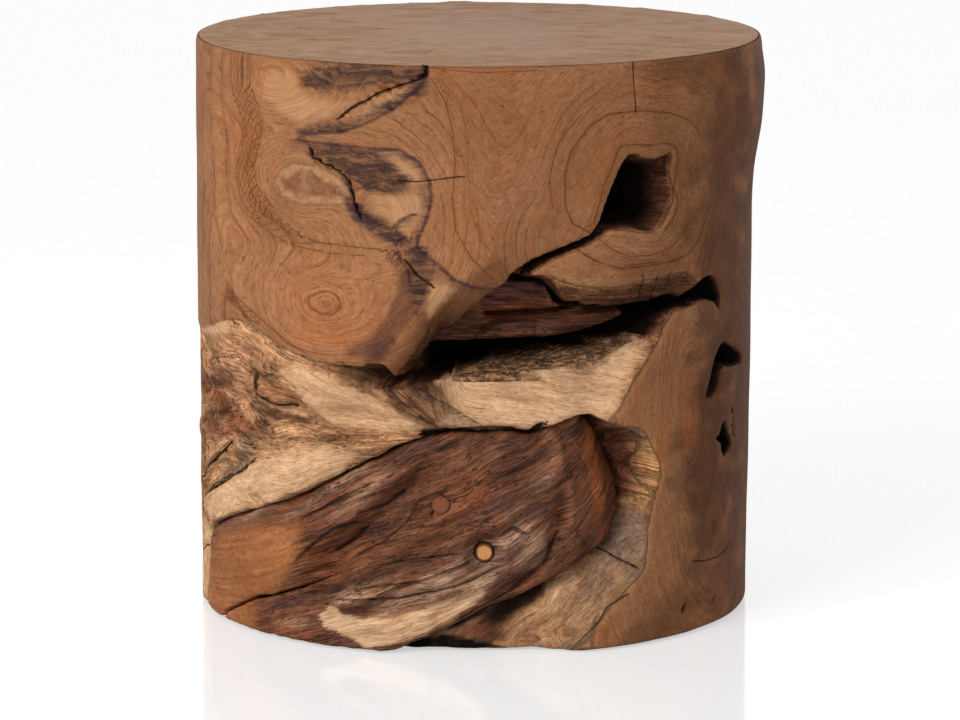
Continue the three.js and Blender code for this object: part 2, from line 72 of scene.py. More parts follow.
def trail(*numbers):
    """Points as pairs, such as (angle, height), from their numbers in a row."""
    return list(zip(numbers[::2], numbers[1::2]))


# Edges of the natural surfaces: (angle, height)
CROWN_LIP = trail(
    -152, -60, -143, 10, -137, 62, -131, 108, -124, 150, -115, 182, -105, 199, -95, 205, -85, 203, -77, 208, -70, 212,
    -64, 219, -58, 223, -52, 223, -48, 219, -44, 215, -40, 211, -36, 207, -32, 203, -28, 200.5, -25, 201, -22, 203,
    -19, 204, -16.5, 197, -13, 194, -9.6, 195, -8.4, 200, -7.8, 208, -7, 218, -5.3, 229, -2, 242, 1, 252, 5, 262,
    9, 265, 18, 247, 30, 240, 46, 244, 60, 235
)
LEDGE_RIDGE = trail(
    22, 157, 27, 161, 30, 168, 32, 178, 34, 190, 37, 203, 39.5, 214, 41, 224, 43, 233, 46, 240, 60, 255
)
LEDGE_TOP = trail(
    -20, 184, -14, 191, -8, 198, -4, 201.5, 0, 201.5, 4.4, 199, 8.6, 198, 17, 202, 20, 204.5, 26, 209, 32.6, 212.5,
    36.5, 217, 41, 228
)
TROUGH_OUTER = trail(
    2, -20, 18, -3, 21.5, 4, 23.3, 10, 25.5, 20.5, 28.4, 31, 31.5, 39.6, 34.4, 48, 36.4, 55, 36.7, 67, 36.5, 82,
    37.5, 97, 38.6, 108, 39, 120, 38, 134, 36, 148, 33, 155, 28, 160, 22, 165
)
TROUGH_INNER = trail(
    -22, -20, -18, 0, -14.5, 6, -10.6, 11, -4.8, 19, 1.2, 28.4, 6.5, 35, 11.7, 42, 20.4, 54, 26.7, 66, 31.5, 72,
    33.6, 79, 35.2, 94, 35, 115, 33.4, 136, 31.2, 149, 28, 160, 24, 166.5
)
BOWL = trail(
    24, 163, 27, 161, 29, 156, 30.5, 153, 32.5, 155, 34.4, 154.5, 36.4, 146, 38.2, 135, 39.4, 128, 39.6, 118,
    38.4, 108, 35.6, 99, 32.4, 91, 29, 84, 24, 76, 18, 70, 18, 160
)
FUNNEL = trail(
    -16.6, 195, -14.8, 203, -12.4, 214.5, -10.2, 227, -9.2, 238, -7.6, 249, -5, 256.5, -1.5, 259, 3.5, 254, 0.5, 243,
    -2.5, 230, -4.5, 219, -5.5, 209, -6, 200, -6, 194, -11, 190, -14, 190
)
CROWN_FOOT = trail(15, 253, 17.5, 244, 20, 238, 27, 235.6, 38, 238.8, 46, 240)
LIMB_OUTLINE = trail(
    -74.5, -20, -74.5, 30, -74, 54, -71, 67, -60.5, 80, -51.7, 90, -44.2, 100, -37.2, 110, -31, 121, -25, 132,
    -19.4, 142, -14, 149, -10, 152, -4.9, 155, 0.2, 154, 4.3, 154.5, 8.3, 154.3, 11.4, 152, 14.5, 157, 17.7, 162,
    21, 166
) + TROUGH_INNER[::-1]
LIMB_CRACK = trail(
    -71, -20, -66, 1, -61.7, 10, -55.7, 19, -51.3, 25.5, -45.9, 30.5, -40.9, 37, -36.2, 43.5, -31.3, 51, -27.8, 56,
    -21.8, 63, -16.3, 71.5, -13, 82, -11, 93, -9.4, 100, -7, 112, -4, 126, -2, 140, 0, 175
)
LIMB_RIDGE = trail(
    -16, 0, -8, 14, -1.9, 31, 4.4, 43.7, 10.8, 57, 15.6, 70.6, 18.7, 83.5, 19.4, 103, 19.6, 124, 20.7, 143, 21.4, 156,
    22.7, 168
)
SANDED_END = trail(
    -52, -20, -50, 20, -47, 28, -43.5, 38, -41.5, 48, -39.5, 60, -37.5, 80, -38, 86, -45, 85, -51.5, 81, -60, 74,
    -72, 56, -80, 54, -80, -20
)

# Hollows: mouths and the outlines that they narrow to inside
HOLLOW_MOUTH = trail(
    -9.4, 190, -8.4, 200, -7.8, 208, -7, 218, -5.3, 229, -2, 242, 1, 252, 5, 262, 8, 267, 12, 268, 15, 265, 16.4, 253,
    17.5, 244, 20, 238, 27, 235.5, 31, 236.5, 38, 239, 43, 241, 46.5, 240, 46.5, 236.5, 43, 233.5, 40.5, 227,
    38.6, 219, 35, 212, 27, 206, 15, 200, 5, 197, -4, 195
)
HOLLOW_INSIDE = trail(
    -18, 196, -16, 206, -13, 216, -8, 228, -2, 240, 6, 256, 14, 258, 24, 242, 36, 241, 46, 243, 50, 240, 46, 233,
    41, 226, 39, 219, 28, 209, 10, 203, -4, 199, -12, 196
)
TEAR = trail(
    44, 235.5, 47, 240.5, 49.6, 247.4, 52.3, 253.4, 55.2, 254.2, 57.8, 248, 59.3, 238, 59, 228, 56.5, 235.6,
    52.6, 238.6, 49.2, 237.4, 46, 234.5
)
TEAR_INSIDE = trail(42, 234, 45, 241, 50, 247, 54, 248, 56.4, 242, 55, 237, 50, 234, 45, 232)
UPPER_HOLE = trail(
    21.5, 288, 23.1, 296, 24.4, 302.6, 25.6, 314, 27, 325.5, 28.4, 336, 29.6, 344, 31, 348, 32.9, 347, 34.6, 343.5,
    37, 342.6, 39.4, 344, 41.4, 347.4, 41.5, 341, 40.6, 335.6, 41.3, 328.3, 42.4, 320, 42.6, 312.6, 41.4, 304.6,
    39.6, 296, 37.2, 292, 33.5, 293.6, 29.9, 296, 26.6, 297, 24.6, 292.5
)
UPPER_HOLE_INSIDE = trail(24, 296, 26, 312, 28, 326, 31, 337, 35, 338, 38, 332, 37.5, 318, 38, 306, 35, 300, 28, 299)
SLIT = trail(
    4, 258, 5.1, 262.7, 6.5, 270.2, 10.1, 278.3, 14.1, 283.8, 18.2, 288.6, 22.5, 294, 24.6, 299, 26.4, 297.7,
    24.6, 292, 21.4, 287, 17.2, 281.5, 13.1, 275.5, 10.4, 270, 9.4, 266, 9, 260
)
SCOOP = trail(
    53.6, 167, 55.4, 179, 57.2, 193.5, 59.5, 202, 62, 203, 65, 198.5, 70.5, 191, 72.8, 187, 72, 182.5, 66.6, 183,
    61.2, 186, 59.6, 184, 58.6, 171, 56, 166.6
)
SCOOP_INSIDE = trail(58.8, 193, 61, 198, 66, 196, 70, 189, 69.6, 186, 65, 188, 60, 189)
KNOT_HOLE = trail(
    57, 134.6, 60, 137.2, 60.6, 143.2, 62.4, 147, 63.6, 141, 66, 132.4, 66.6, 127, 64, 123, 62.3, 119.6, 60.8, 125.8,
    60.4, 132.4
)
STRAND_OUTLINE = trail(
    -13, 214, -12, 232, -8, 245, -1, 260, 6, 269.5, 12, 270, 14.4, 267, 15, 260, 16.2, 252, 17.2, 245, 20, 240.6,
    27, 238.6, 33, 238.4, 36.4, 236, 36.6, 228, 33, 224, 29, 221.4, 22, 219, 15, 217, 6, 216.4, 0, 215.8, -6, 215
)
SHARD_OUTLINE = trail(
    -2, 216, 3, 231, 8, 233, 15, 233.6, 22, 235.6, 29, 238, 33, 238.4, 36.4, 236, 36.6, 228, 33, 224, 29, 221.4,
    22, 219, 15, 217, 6, 216.4
)

# Grooves cut into the surfaces: path, half width, depth
BLOCK_GROOVES = [
    (trail(-10.5, 413, -10, 407, -11.2, 404), 1.5, 6),
    (trail(-12, 402, -15.5, 398, -20, 392, -22.6, 386), 0.6, 5),
    (trail(-23, 386, -25.5, 381, -28, 374), 0.8, 3),
    (trail(-35, 352, -34.5, 345, -31.5, 341, -28, 337, -26, 329, -25.2, 320, -24.5, 312, -23.5, 306), 0.7, 6),
    (trail(-15.5, 333, -12, 332.6, -9, 334, -5, 336, -3, 337), 0.3, 1),
    (trail(-9, 261, -12, 268, -14, 277), 0.8, 1.6),
    (trail(-51.6, 188, -53, 181, -52.6, 174, -51.6, 168.6, -47, 165, -42, 167), 0.8, 4),
    (trail(-81, 78, -74, 88, -66, 99, -58, 113, -53, 124), 1.0, 4),
    (trail(-83, 92, -76, 106, -68, 119, -62, 131), 1.0, 4),
    (trail(-78, 84, -71, 96, -62, 108), 0.6, 3),
    (trail(-86, 40, -83, 50, -81, 58, -83, 66), 0.8, 4),
    (trail(-84, 38, -80, 44, -76, 46), 0.6, 3),
    (trail(24, 78, 28, 70, 31, 62, 34, 56), 0.5, 3),
    (trail(28, 140, 31, 131, 34, 122, 36, 117), 1.3, 7),
    (trail(27, 128, 30, 121, 33, 112), 1.0, 5),
    (trail(20, 4, 22, 12, 24.6, 20, 27, 31, 31, 38), 0.35, 1.2),
    (trail(50, 52, 54, 50, 59, 49, 63, 51, 66, 55), 0.4, 1.2),
    (trail(66, 153, 66.6, 146, 66.2, 140, 67.6, 132), 0.7, 3),
    (trail(31.5, 413, 31.5, 399, 32, 377), 0.35, 0.6),
    (trail(34.6, 262, 35.2, 246), 0.3, 0.6),
    (trail(38.5, 260, 39, 245), 0.35, 0.6),
    (trail(42, 262, 42.6, 247), 0.25, 0.6),
    (trail(46.6, 18, 47.4, 23), 0.9, 2.5),
    (trail(57.6, 18, 58.4, 21), 0.8, 2.5),
    (trail(-12, 153, -4, 156.6, 3, 157, 8, 155.6, 11, 154, 14, 160), 2.2, 9),
]
KNOT_PITS = [
    (-51.3, 96.6, 5.5, 3.6, 4), (-21.5, 149.4, 3.2, 2.4, 3), (-37, 180, 3.4, 2.2, 2.2), (-34.7, 194, 5, 2.4, 2),
    (-43, 255, 1.8, 1, 1.5), (-40.6, 262, 2.4, 1.1, 1.8), (-31, 197, 4.5, 2, 2), (-56, 160, 3, 1.4, 2),
    (-78, 163, 3.4, 2.4, 3), (-17, 221, 2.4, 3.4, 2.4), (47, 19, 2.2, 1.6, 2.4), (58, 20, 1.5, 1.2, 2),
]
LIMB_GROOVES = [
    (trail(-20, 62, -14, 67, -8, 70, -4, 72), 0.5, 2),
    (trail(-37, 92, -30, 105, -24, 117), 0.6, 2),
    (trail(-27, 66, -20, 78, -15, 92, -13, 104), 0.5, 2),
    (trail(-9.4, 100, -7.6, 112, -6.5, 118), 0.6, 2),
    (trail(-39, 60, -35.5, 72, -31, 84, -26.5, 90), 0.9, 4),
    (trail(-33, 66, -27.5, 78, -25, 86), 0.7, 3),
    (trail(-25, 97, -20, 104, -17, 112), 1.0, 3),
    (trail(5, 86, 7, 90, 9.4, 87), 0.9, 2),
    (trail(-14, 104, -11, 112, -7, 117), 0.6, 2),
    (trail(-24, 44, -12, 52, -2, 66), 0.6, 2.5),
    (trail(-30, 34, -16, 40, -4, 50, 4, 62), 0.6, 2.5),
    (trail(-4, 24, 6, 42, 14, 62, 17, 84), 0.8, 3),
]

# Soft folds of the limbs: path, half width, height above (or depth below) the surface
LIMB_FOLDS = [
    (trail(-44, 36, -38, 50, -31, 64, -24, 82, -17, 106, -13, 124), 19, -13),
    (trail(-40, 62, -30, 86, -21, 110, -14, 128), 8, 4),
    (trail(-37.5, 64, -33, 77, -27.5, 88), 6, 5),
    (trail(-8, 24, 2.8, 38, 11, 58, 16, 80, 17.4, 104), 11, -8),
    (trail(-28, 32, -11.7, 47, 0, 62, 9, 84, 15, 108, 17, 124), 10, 6),
    (trail(-58, 30, -40, 38, -24, 55, -12, 84), 9, 3),
    (trail(-20, 80, -8, 106, 4, 132, 10, 146), 18, 5),
    (trail(-34, 20, -18, 22, -4, 38), 12, -4),
    (trail(-2, 120, 8, 140), 8, -3),
    (trail(17, 150, 19.4, 120, 19, 92), 8, 4),
]
FLANK_FOLDS = [
    (trail(-80, 160, -60, 158, -42, 160, -22, 158), 16, -5),
    (trail(-85, 128, -66, 140, -45, 150, -25, 152), 10, 4),
    (trail(-75, 75, -58, 96, -38, 122, -22, 145), 20, 5),
    (trail(-66, 196, -52, 192, -38, 188, -26, 178), 11, 4),
    (trail(-84, 80, -68, 106, -54, 130), 9, -4),
    (trail(-51, 182, -46, 174, -41, 170), 9, -4),
    (trail(-88, 206, -72, 208, -60, 214), 7, 4),
    (trail(-88, 190, -76, 187, -66, 190), 6, -4),
    (trail(-56, 76, -42, 92, -30, 112, -18, 134, -8, 146), 12, -8),
    (trail(-22, 199, -17, 184, -12, 172, -6, 162), 8, 4),
    (trail(-29, 200, -24, 189, -19, 178, -14, 168, -8, 158), 6, -3),
    (trail(-15, 192, -10, 181, -5, 171, 0, 162), 5, -2.5),
]

# Growth figure on the sanded wall: centre angle and height, half width and half height in mm, spacing of its rings
KNOT_FIGURES = [
    (-31, 243, 62, 38, 46), (-36, 326, 34, 20, 24), (-44, 399, 30, 15, 20), (58, 72, 20, 30, 26),
    (48, 158, 12, 34, 20), (62, 134, 9, 14, 12), (-19, 306, 34, 44, 30), (118, 250, 36, 52, 44),
    (160, 120, 26, 34, 30), (-150, 300, 30, 46, 38), (-122, 110, 22, 26, 24), (176, 340, 24, 20, 22),
]
GROWTH_LINES = [
    (trail(23, 302, 24.5, 319, 25, 327, 27, 342, 28.5, 354, 31.5, 355, 35, 353, 38.5, 354, 41, 352, 42.5, 348,
           43, 342, 42.5, 332, 42.5, 322, 43.5, 311, 43, 303, 41.5, 297, 40, 292), 0.5),
    (trail(22, 296, 18.5, 303, 17, 315, 17, 326, 17, 339, 18, 352, 20, 362, 22.5, 371, 26, 377, 33, 378, 40.5, 374,
           46, 367, 49, 356), 0.45),
    (trail(14.4, 316, 13.8, 333, 14.4, 346, 15.6, 358, 17.4, 368, 20, 377), 0.25),
    (trail(18.5, 289, 20.5, 282, 24, 275, 29, 269, 33.5, 269, 38.5, 269, 42.5, 270, 47, 273, 50, 281, 52, 289,
           52, 294), 0.45),
    (trail(24.5, 290, 27, 283, 31, 277, 36, 276, 41, 279, 44.5, 285, 47, 295), 0.25),
    (trail(-54.5, 411, -54.5, 389, -51.5, 370, -50, 360, -51.5, 344, -53.5, 331, -51.5, 314, -47.5, 303, -43, 297,
           -37, 289, -29.5, 286, -22, 285, -17, 285, -15, 279, -12.5, 269, -11.5, 257), 0.4),
    (trail(-58.5, 411, -58, 384, -54.5, 366, -53, 355, -55, 340, -57, 327, -55.5, 310, -50.5, 296, -45, 288,
           -38.5, 282, -30.5, 280, -22.5, 280), 0.3),
    (trail(-51.5, 411, -51.5, 391, -49, 377, -47.5, 364, -48.5, 348, -50.5, 332, -49, 319, -45, 308), 0.3),
    (trail(-62, 411, -62.5, 375, -59.5, 348, -61, 319, -58.5, 296, -52.5, 281), 0.25),
    (trail(-67.5, 411, -68.5, 366, -66.5, 331, -67, 295, -63, 269, -58, 246), 0.25),
    (trail(-9, 403, -6.5, 389, -5, 369, -4.5, 345, -5, 321, -4.5, 300, -1.5, 281, 2.5, 267), 0.25),
    (trail(-7.5, 405, -3.5, 386, -2, 362, -2, 338, -1.5, 314, 0.5, 293, 4.5, 276), 0.15),
    (trail(-59, 241, -53.5, 234, -48.5, 227, -40, 213, -36.5, 208), 0.3),
    (trail(-60, 236, -54.5, 228, -49.5, 222.5), 0.3),
    (trail(-10, 411, 0, 408, 12, 409), 0.2),
]
GROWTH_LINES += [([(angle - step, height) for angle, height in GROWTH_LINES[5][0]], 0.2)
                 for step in (1.5, 2.8, -1.1, -2.1)]

# Purple-black bark seams: path and half width
BARK_SEAMS = [
    (trail(-9.9, 413, -10.4, 403, -11.8, 396, -14.4, 388, -17, 381, -20.5, 374, -23.7, 369, -28.1, 364, -36, 360),
     1.2),
    (trail(-37.5, 356, -30, 355, -22.5, 354, -15.5, 354, -11.5, 346, -9.5, 334, -9, 320, -10, 307, -11.5, 295,
           -12, 287, -10, 282, -7.5, 275, -4.5, 265, -1, 260, 4, 259), 1.0),
    (trail(-26, 330, -25.4, 321, -24, 311, -21, 304, -17, 299, -14, 292), 1.6),
    (trail(-16, 287, -15.4, 279, -13.6, 271, -13.5, 262, -11, 256), 0.9),
    (trail(-27, 202, -22, 190, -17, 175, -12, 163, -8, 157, 0, 154), 0.8),
    (trail(-15, 192, -10, 180, -5, 171, 0, 161), 0.6),
    (trail(-17, 299, -15, 306, -13, 309), 1.4),
]
PURPLE_ZONES = [
    trail(-37, 403, -33, 409, -26.5, 411, -19.5, 412, -10.5, 411, -10, 404, -14.5, 400, -19.5, 397, -25.5, 394,
          -32, 392, -36.5, 394),
    trail(-9.5, 404, -10.5, 394, -14.5, 386, -18.5, 378, -23.5, 371, -29, 363, -37.5, 358, -38, 362, -33.5, 366,
          -28, 370, -23, 378, -18.5, 386, -13.5, 395, -12, 404),
    trail(-35.5, 353, -30, 356, -25.5, 354, -20.5, 352, -16.5, 344, -13, 335, -14.5, 327, -18.5, 324, -23, 325,
          -25.5, 330, -28.5, 339, -32, 344, -35, 347),
    trail(-27, 321, -23.5, 318, -21, 308, -17, 302, -14, 292, -10.5, 289, -8.5, 278, -10.5, 277, -14, 284, -18.5, 292,
          -22.5, 299, -26, 309),
    trail(-14.5, 287, -10.5, 280, -7.5, 271, -9.5, 265, -10.5, 251, -12, 241, -13, 251, -13, 268),
]
KNOT_SHADE = trail(
    -12.8, 278, -11.8, 261, -11.6, 245, -14.2, 231, -17.6, 219, -21, 210, -27, 206, -27, 214, -22, 224, -18.6, 238,
    -16.6, 254, -15.6, 269
)
PALE_PATCHES = [
    trail(-20, 353, -15, 352, -11.5, 341, -10.5, 331, -13, 331, -15.5, 340, -18.5, 347),
    trail(-21, 322, -16.5, 322, -12, 324, -10.5, 317, -11.5, 303, -14, 296, -17, 304, -20.5, 311),
    trail(-9.5, 262, -6, 263, -4.5, 259, -7.5, 248, -9.5, 239, -10.5, 246),
    trail(-47.5, 399, -41, 404, -38, 401, -37.5, 391, -34, 386, -25.5, 384, -30, 375, -37.5, 369, -42.5, 374,
          -47, 384),
    trail(-25, 376, -20.6, 384, -16, 393, -13.6, 397, -14.6, 391, -18, 382, -21.6, 375),
]
SAPWOOD = [
    trail(-10, 160, -5, 170, -7, 184, -10, 194, -6, 202, 4, 207, 16, 212, 28, 222, 35, 230, 38, 234, 37.4, 222,
          34.8, 207, 32, 193, 29.8, 181, 28.4, 169, 25, 162, 18, 160, 8, 157, 0, 155),
    trail(-72, 70, -79, 78, -71, 90, -62, 106, -52, 124, -42, 136, -33, 142, -27, 137, -30, 122, -40, 105, -50, 92,
          -60, 80),
    trail(-40, 198, -35, 197, -29, 187, -24, 178, -18, 166, -13, 158, -22, 153, -32, 157, -36, 166, -40, 180,
          -43, 192),
    trail(-84, 206, -74, 211, -66, 216, -60, 218, -60, 212, -70, 204, -84, 200),
    trail(-84, 60, -76, 66, -72, 56, -76, 30, -78, 6, -88, 6, -88, 40),
]
LIMB_SAPWOOD = [
    trail(-34.3, 21, -32.3, 28, -30.8, 27, -28.6, 23, -24, 21.5, -16.3, 27, -8, 36, -2.8, 42, 0.6, 47, 1.6, 43,
          -1.8, 33, -5.9, 25, -11, 14.5, -16.4, 8, -23, 3, -25, 8, -28.7, 12, -32.3, 15),
]
BARK_PATCHES = [
    trail(-44.4, 326, -42.6, 335, -38.6, 341.5, -33.4, 340.5, -28.6, 335, -25.8, 328, -25, 319.5, -27, 314.4,
          -31, 312, -37, 311, -42, 315),
]


def along_line(places, wanted, read="height"):
    """Height of a line of places at each angle, or its angle at each height."""
    across = [place[0] for place in places]
    up = [place[1] * TALL for place in places]
    return np.interp(wanted, across, up) if read == "height" else np.interp(wanted, up, across)


def ease(values):
    """A smooth step from 0 to 1."""
    held = np.clip(values, 0, 1)
    return held * held * (3 - 2 * held)


def mixed(low, high, share):
    return low + (high - low) * share


def round_from(centre, angle):
    """Distance in mm round the drum from a centre angle, the shorter way."""
    return ((angle - centre + 180) % 360 - 180) * ARC


def near_path(places, angle, height, closed=False, reach=FAR):
    """Distance in mm along the wall to a path, signed: below zero inside a closed path, or left of an open one."""
    corners = np.array([(a * ARC, h * TALL) for a, h in places], float)
    if closed:
        corners = np.vstack([corners, corners[:1]])
    across = np.asarray(angle * ARC + height * 0, float)
    up = np.asarray(height + angle * 0, float)
    found = np.full(across.shape, float(reach))
    low, high = corners.min(0) - reach, corners.max(0) + reach
    close = (across > low[0]) & (across < high[0]) & (up > low[1]) & (up < high[1])
    px, py = across[close], up[close]
    best, side, crossings = np.full(px.shape, 1e9), np.ones(px.shape), np.zeros(px.shape, bool)
    for (ax, ay), (bx, by) in zip(corners[:-1], corners[1:]):
        dx, dy = bx - ax, by - ay
        share = np.clip(((px - ax) * dx + (py - ay) * dy) / (dx * dx + dy * dy), 0, 1)
        gap = np.hypot(px - ax - share * dx, py - ay - share * dy)
        nearer = gap < best
        best = np.where(nearer, gap, best)
        side = np.where(nearer, np.sign((px - ax) * dy - (py - ay) * dx + 1e-9), side)
        if closed and ay != by:
            crossings ^= ((ay > py) != (by > py)) & (px < dx * (py - ay) / dy + ax)
    found[close] = np.minimum(best, reach) * (np.where(crossings, -1, 1) if closed else side)
    return found


def nearest_of(paths, angle, height, closed=False, reach=40):
    """Distance to the nearest of several paths, each a list of places or a pair of places and half width."""
    found = np.full(np.broadcast(angle, height).shape, float(reach))
    for path in paths:
        places, half = path if isinstance(path, tuple) else (path, 0)
        gap = near_path(places, angle, height, closed, reach)
        found = np.minimum(found, (gap if closed else np.abs(gap)) - half)
    return found


def nearest_line(lines, angle, height, reach=14):
    """The signed distance to the nearest of several lines, its plain distance and the line's half width there."""
    shape = np.broadcast(angle, height).shape
    side, gap, half = np.full(shape, float(reach)), np.full(shape, float(reach)), np.zeros(shape)
    for places, width in lines:
        found = near_path(places, angle, height, reach=reach)
        nearer = np.abs(found) < gap
        side = np.where(nearer, found, side)
        gap = np.where(nearer, np.abs(found), gap)
        half = np.where(nearer, width, half)
    return np.stack([side, gap, half], -1)


def blended_min(first, second, width):
    """The smaller of two fields, with a rounded meeting of the given width."""
    share = np.clip(0.5 + 0.5 * (second - first) / width, 0, 1)
    return mixed(second, first, share) - width * share * (1 - share)


def blended_max(first, second, width):
    return -blended_min(-first, -second, width)


def noise(points, seed=0):
    """Smooth gradient noise, about -1 to 1, at points given in noise cells."""
    points = np.asarray(points, float)
    cell = np.floor(points).astype(np.int64)
    part = points - cell
    fade = part**3 * (part * (part * 6 - 15) + 10)
    total = np.zeros(points.shape[:-1])
    for corner in np.ndindex(2, 2, 2):
        corner = np.array(corner)
        where = cell + corner
        mix = where[..., 0] * 374761393 + where[..., 1] * 668265263 + where[..., 2] * 2147483629 + seed * 97531
        mix = (mix ^ (mix >> 13)) * 1274126177
        mix ^= mix >> 16
        turn = (mix & 1023) * (math.tau / 1024)
        tilt = ((mix >> 10) & 1023) / 511.5 - 1
        flat = np.sqrt(1 - tilt * tilt)
        gradient = np.stack([np.cos(turn) * flat, np.sin(turn) * flat, tilt], -1)
        weight = np.where(corner, fade, 1 - fade).prod(-1)
        total += weight * (gradient * (part - corner)).sum(-1)
    return total * 1.6


def layered_noise(points, octaves, seed=0):
    return sum(noise(np.asarray(points) * 2**i, seed + i) * 0.5**i for i in range(octaves))


def wall_places(angle, height, across, up, depth=0.0):
    """Noise coordinates on the wall, in cells of the given size in mm, without a seam at the back."""
    turn = np.radians(angle)
    spread = DRUM_RADIUS / across
    return np.stack(np.broadcast_arrays(np.sin(turn) * spread, -np.cos(turn) * spread, height / up + depth), -1)


def wall_setback(angle, height):
    """How far the sanded wall stands in from the drum's full radius."""
    share = height / STOOL_HEIGHT
    turn = np.radians(angle)
    right = np.maximum(0, np.sin(turn)) ** 2
    back = np.maximum(0, -np.cos(turn))
    below_top = ease((0.94 - share) / 0.24)
    wander = (1 + np.sin(3 * turn + 4 * share)) / 2
    bulge = 2.6 * right * ease((share - 0.76) / 0.1) * ease((0.99 - share) / 0.06)
    return 6 * right * below_top - bulge + 4 * back * below_top * wander + 2 * ease(1 - 2 * share) * right


def lip_depth(gap, depth, fall):
    """Depth behind a lip: steep just under it, then level."""
    return depth * np.sqrt(np.clip(gap / fall, 0, 1)) * np.where(gap > 0, 1, 0)


def folds_field(folds, angle, height):
    total = 0
    for places, half, rise in folds:
        gap = np.abs(near_path(places, angle, height, reach=half + 2))
        total = total + rise * ease(1 - gap / half)
    return total


def grooves_field(grooves, angle, height):
    """Depth of the cracks and slits at each place."""
    deepest = 0
    for places, half, depth in grooves:
        gap = np.abs(near_path(places, angle, height, reach=half + 8))
        wander = noise(wall_places(angle, height, 9, 9), seed=int(depth * 10)) * 0.5 * half
        deepest = np.maximum(deepest, depth * ease((half + 1.1 + wander - gap) / 1.6))
    return deepest


def flank_depth(angle, height):
    """The unsanded left flank, between the crown's lip and the floor."""
    under = along_line(CROWN_LIP, angle) - height
    around = ease((angle + 150) / 40) * ease((26 - angle) / 16)
    overhang = mixed(3, 15, ease((angle + 37) / 14))
    deepening = mixed(0, 6, ease((angle + 75) / 60)) * ease(under / 40)
    fibre = layered_noise(wall_places(angle, height, 46, 7), 3, seed=4) * mixed(0.7, 1.6, ease((angle + 80) / 40))
    relief = deepening - folds_field(FLANK_FOLDS, angle, height) + fibre
    shape = lip_depth(under, overhang, mixed(3, 9, ease((angle + 56) / 14))) + relief * ease(under / 9)
    return shape * around * mixed(0.3, 1, ease((angle + 94) / 24))


def ledge_depth(angle, height):
    """The sapwood ledge: a steep front that rolls over into the flat floor of the main hollow."""
    share = height / TALL
    gap = (along_line(LEDGE_RIDGE, height, "angle") - angle) * ARC
    inside = np.clip(gap / 34, 0, 1)
    front = 13 + 0.14 * np.clip(share - 155, 0, 60) + 2.5 * noise(wall_places(angle, height, 34, 22), seed=9)
    over_top = height - along_line(LEDGE_TOP, angle)
    bumps = 3 * noise(wall_places(angle, height, 9, 5), seed=10)
    roll = 84 * ease((over_top + 3) / 8.5) ** 1.3 + bumps * ease(over_top / 4)
    fringe = ease((angle + 34) / 20) * np.where(share > 120, 1, 0) * ease((share - 128) / 20)
    below_lip = np.where(height < along_line(CROWN_LIP, angle), 1, 0)
    curve = mixed(np.sin(inside * math.pi / 2), ease(inside), 0.6)
    bellied = front * curve - 3 * np.sin(np.clip((share - 160) / 40, 0, 1) * math.pi) * inside
    return (bellied + roll * ease(gap / 26)) * np.where(gap > 0, 1, 0) * fringe * below_lip


def crown_foot_depth(angle, height):
    """The crown's underside, which turns in above the right half of the main hollow."""
    above = height - along_line(CROWN_FOOT, angle)
    around = ease((angle - 13) / 8) * ease((52 - angle) / 8)
    return 12 * around * ease(1 - above / 27) * np.where(above > -3, 1, 0)


def trough_depth(angle, height):
    """The weathered surface between the limbs and the sanded right-hand side."""
    outer = along_line(TROUGH_OUTER, height, "angle")
    inner = along_line(TROUGH_INNER, height, "angle")
    under_limb = ease((angle - inner + 18) / 8)
    gap = np.maximum(outer - angle, 0)
    across = np.clip(gap / np.maximum(outer - inner, 1.5), 0, 1)
    roof = ease((0.39 * STOOL_HEIGHT - height) / 12)
    low = ease((100 * TALL - height) / 40)
    foot = ease((30 - height) / 24)
    curve = mixed(np.sin(across * math.pi / 2), across ** mixed(1.5, 2.8, foot), low)
    depth = mixed(mixed(40, 30, low), 5, foot) * curve + 2 * ease(gap * ARC / 4)
    fibre = layered_noise(wall_places(angle, height, 22, 22), 3, seed=21) * 1.6
    fibre = fibre * ease(gap * ARC / 20) * (1 - 0.6 * foot)
    return (depth + fibre) * under_limb * roof * np.where(angle < outer, 1, 0)


def funnel_depth(angle, height):
    """The concave channel that runs down into the left end of the main hollow."""
    inside = -near_path(FUNNEL, angle, height, True, 20)
    fall = np.clip((259 * TALL - height) / 52, 0, 1)
    return 62 * fall**1.7 * ease(inside / mixed(7, 3, fall))


def knot_pits(angle, height):
    total = 0
    for centre, level, half_width, half_height, depth in KNOT_PITS:
        away = np.hypot((angle - centre) * ARC / half_width, (height - level * TALL) / half_height)
        total = total + depth * ease(1.4 - away) - 0.35 * depth * ease(1 - np.abs(away - 1.5) / 0.5)
    return total


def wall_maps(angle, height):
    """Radii of the sanded wall and of the natural surface at each place."""
    wall = DRUM_RADIUS - wall_setback(angle, height)
    wall = wall + 0.5 * noise(wall_places(angle, height, 70, 60), seed=2)
    flank = np.maximum(flank_depth(angle, height), ledge_depth(angle, height))
    natural = np.maximum(np.maximum(flank, trough_depth(angle, height)), funnel_depth(angle, height))
    natural = np.maximum(natural, crown_foot_depth(angle, height))
    return wall, wall - natural


def pocket(mouth, inside, angle, height, depth, run, taper=0.0, rough=0.0, seed=0):
    """Signed distance to a hollow whose outline changes from its mouth to its inside over a run of depth."""
    found = near_path(mouth, angle, height, True, 40) + taper * depth
    if inside:
        found = mixed(found, near_path(inside, angle, height, True, 40), ease(depth / run))
    if rough:
        found = found + rough * noise(wall_places(angle, height, 16, 12), seed=seed) * ease(depth / 14)
    return found


def foot_arch(angle):
    """Height of the worn arch in the foot's front edge, beside the lower limb."""
    return along_line(trail(-22, 0, -14, 8, -7, 12, -2, 9.5, 4, 4, 9, 0), angle)


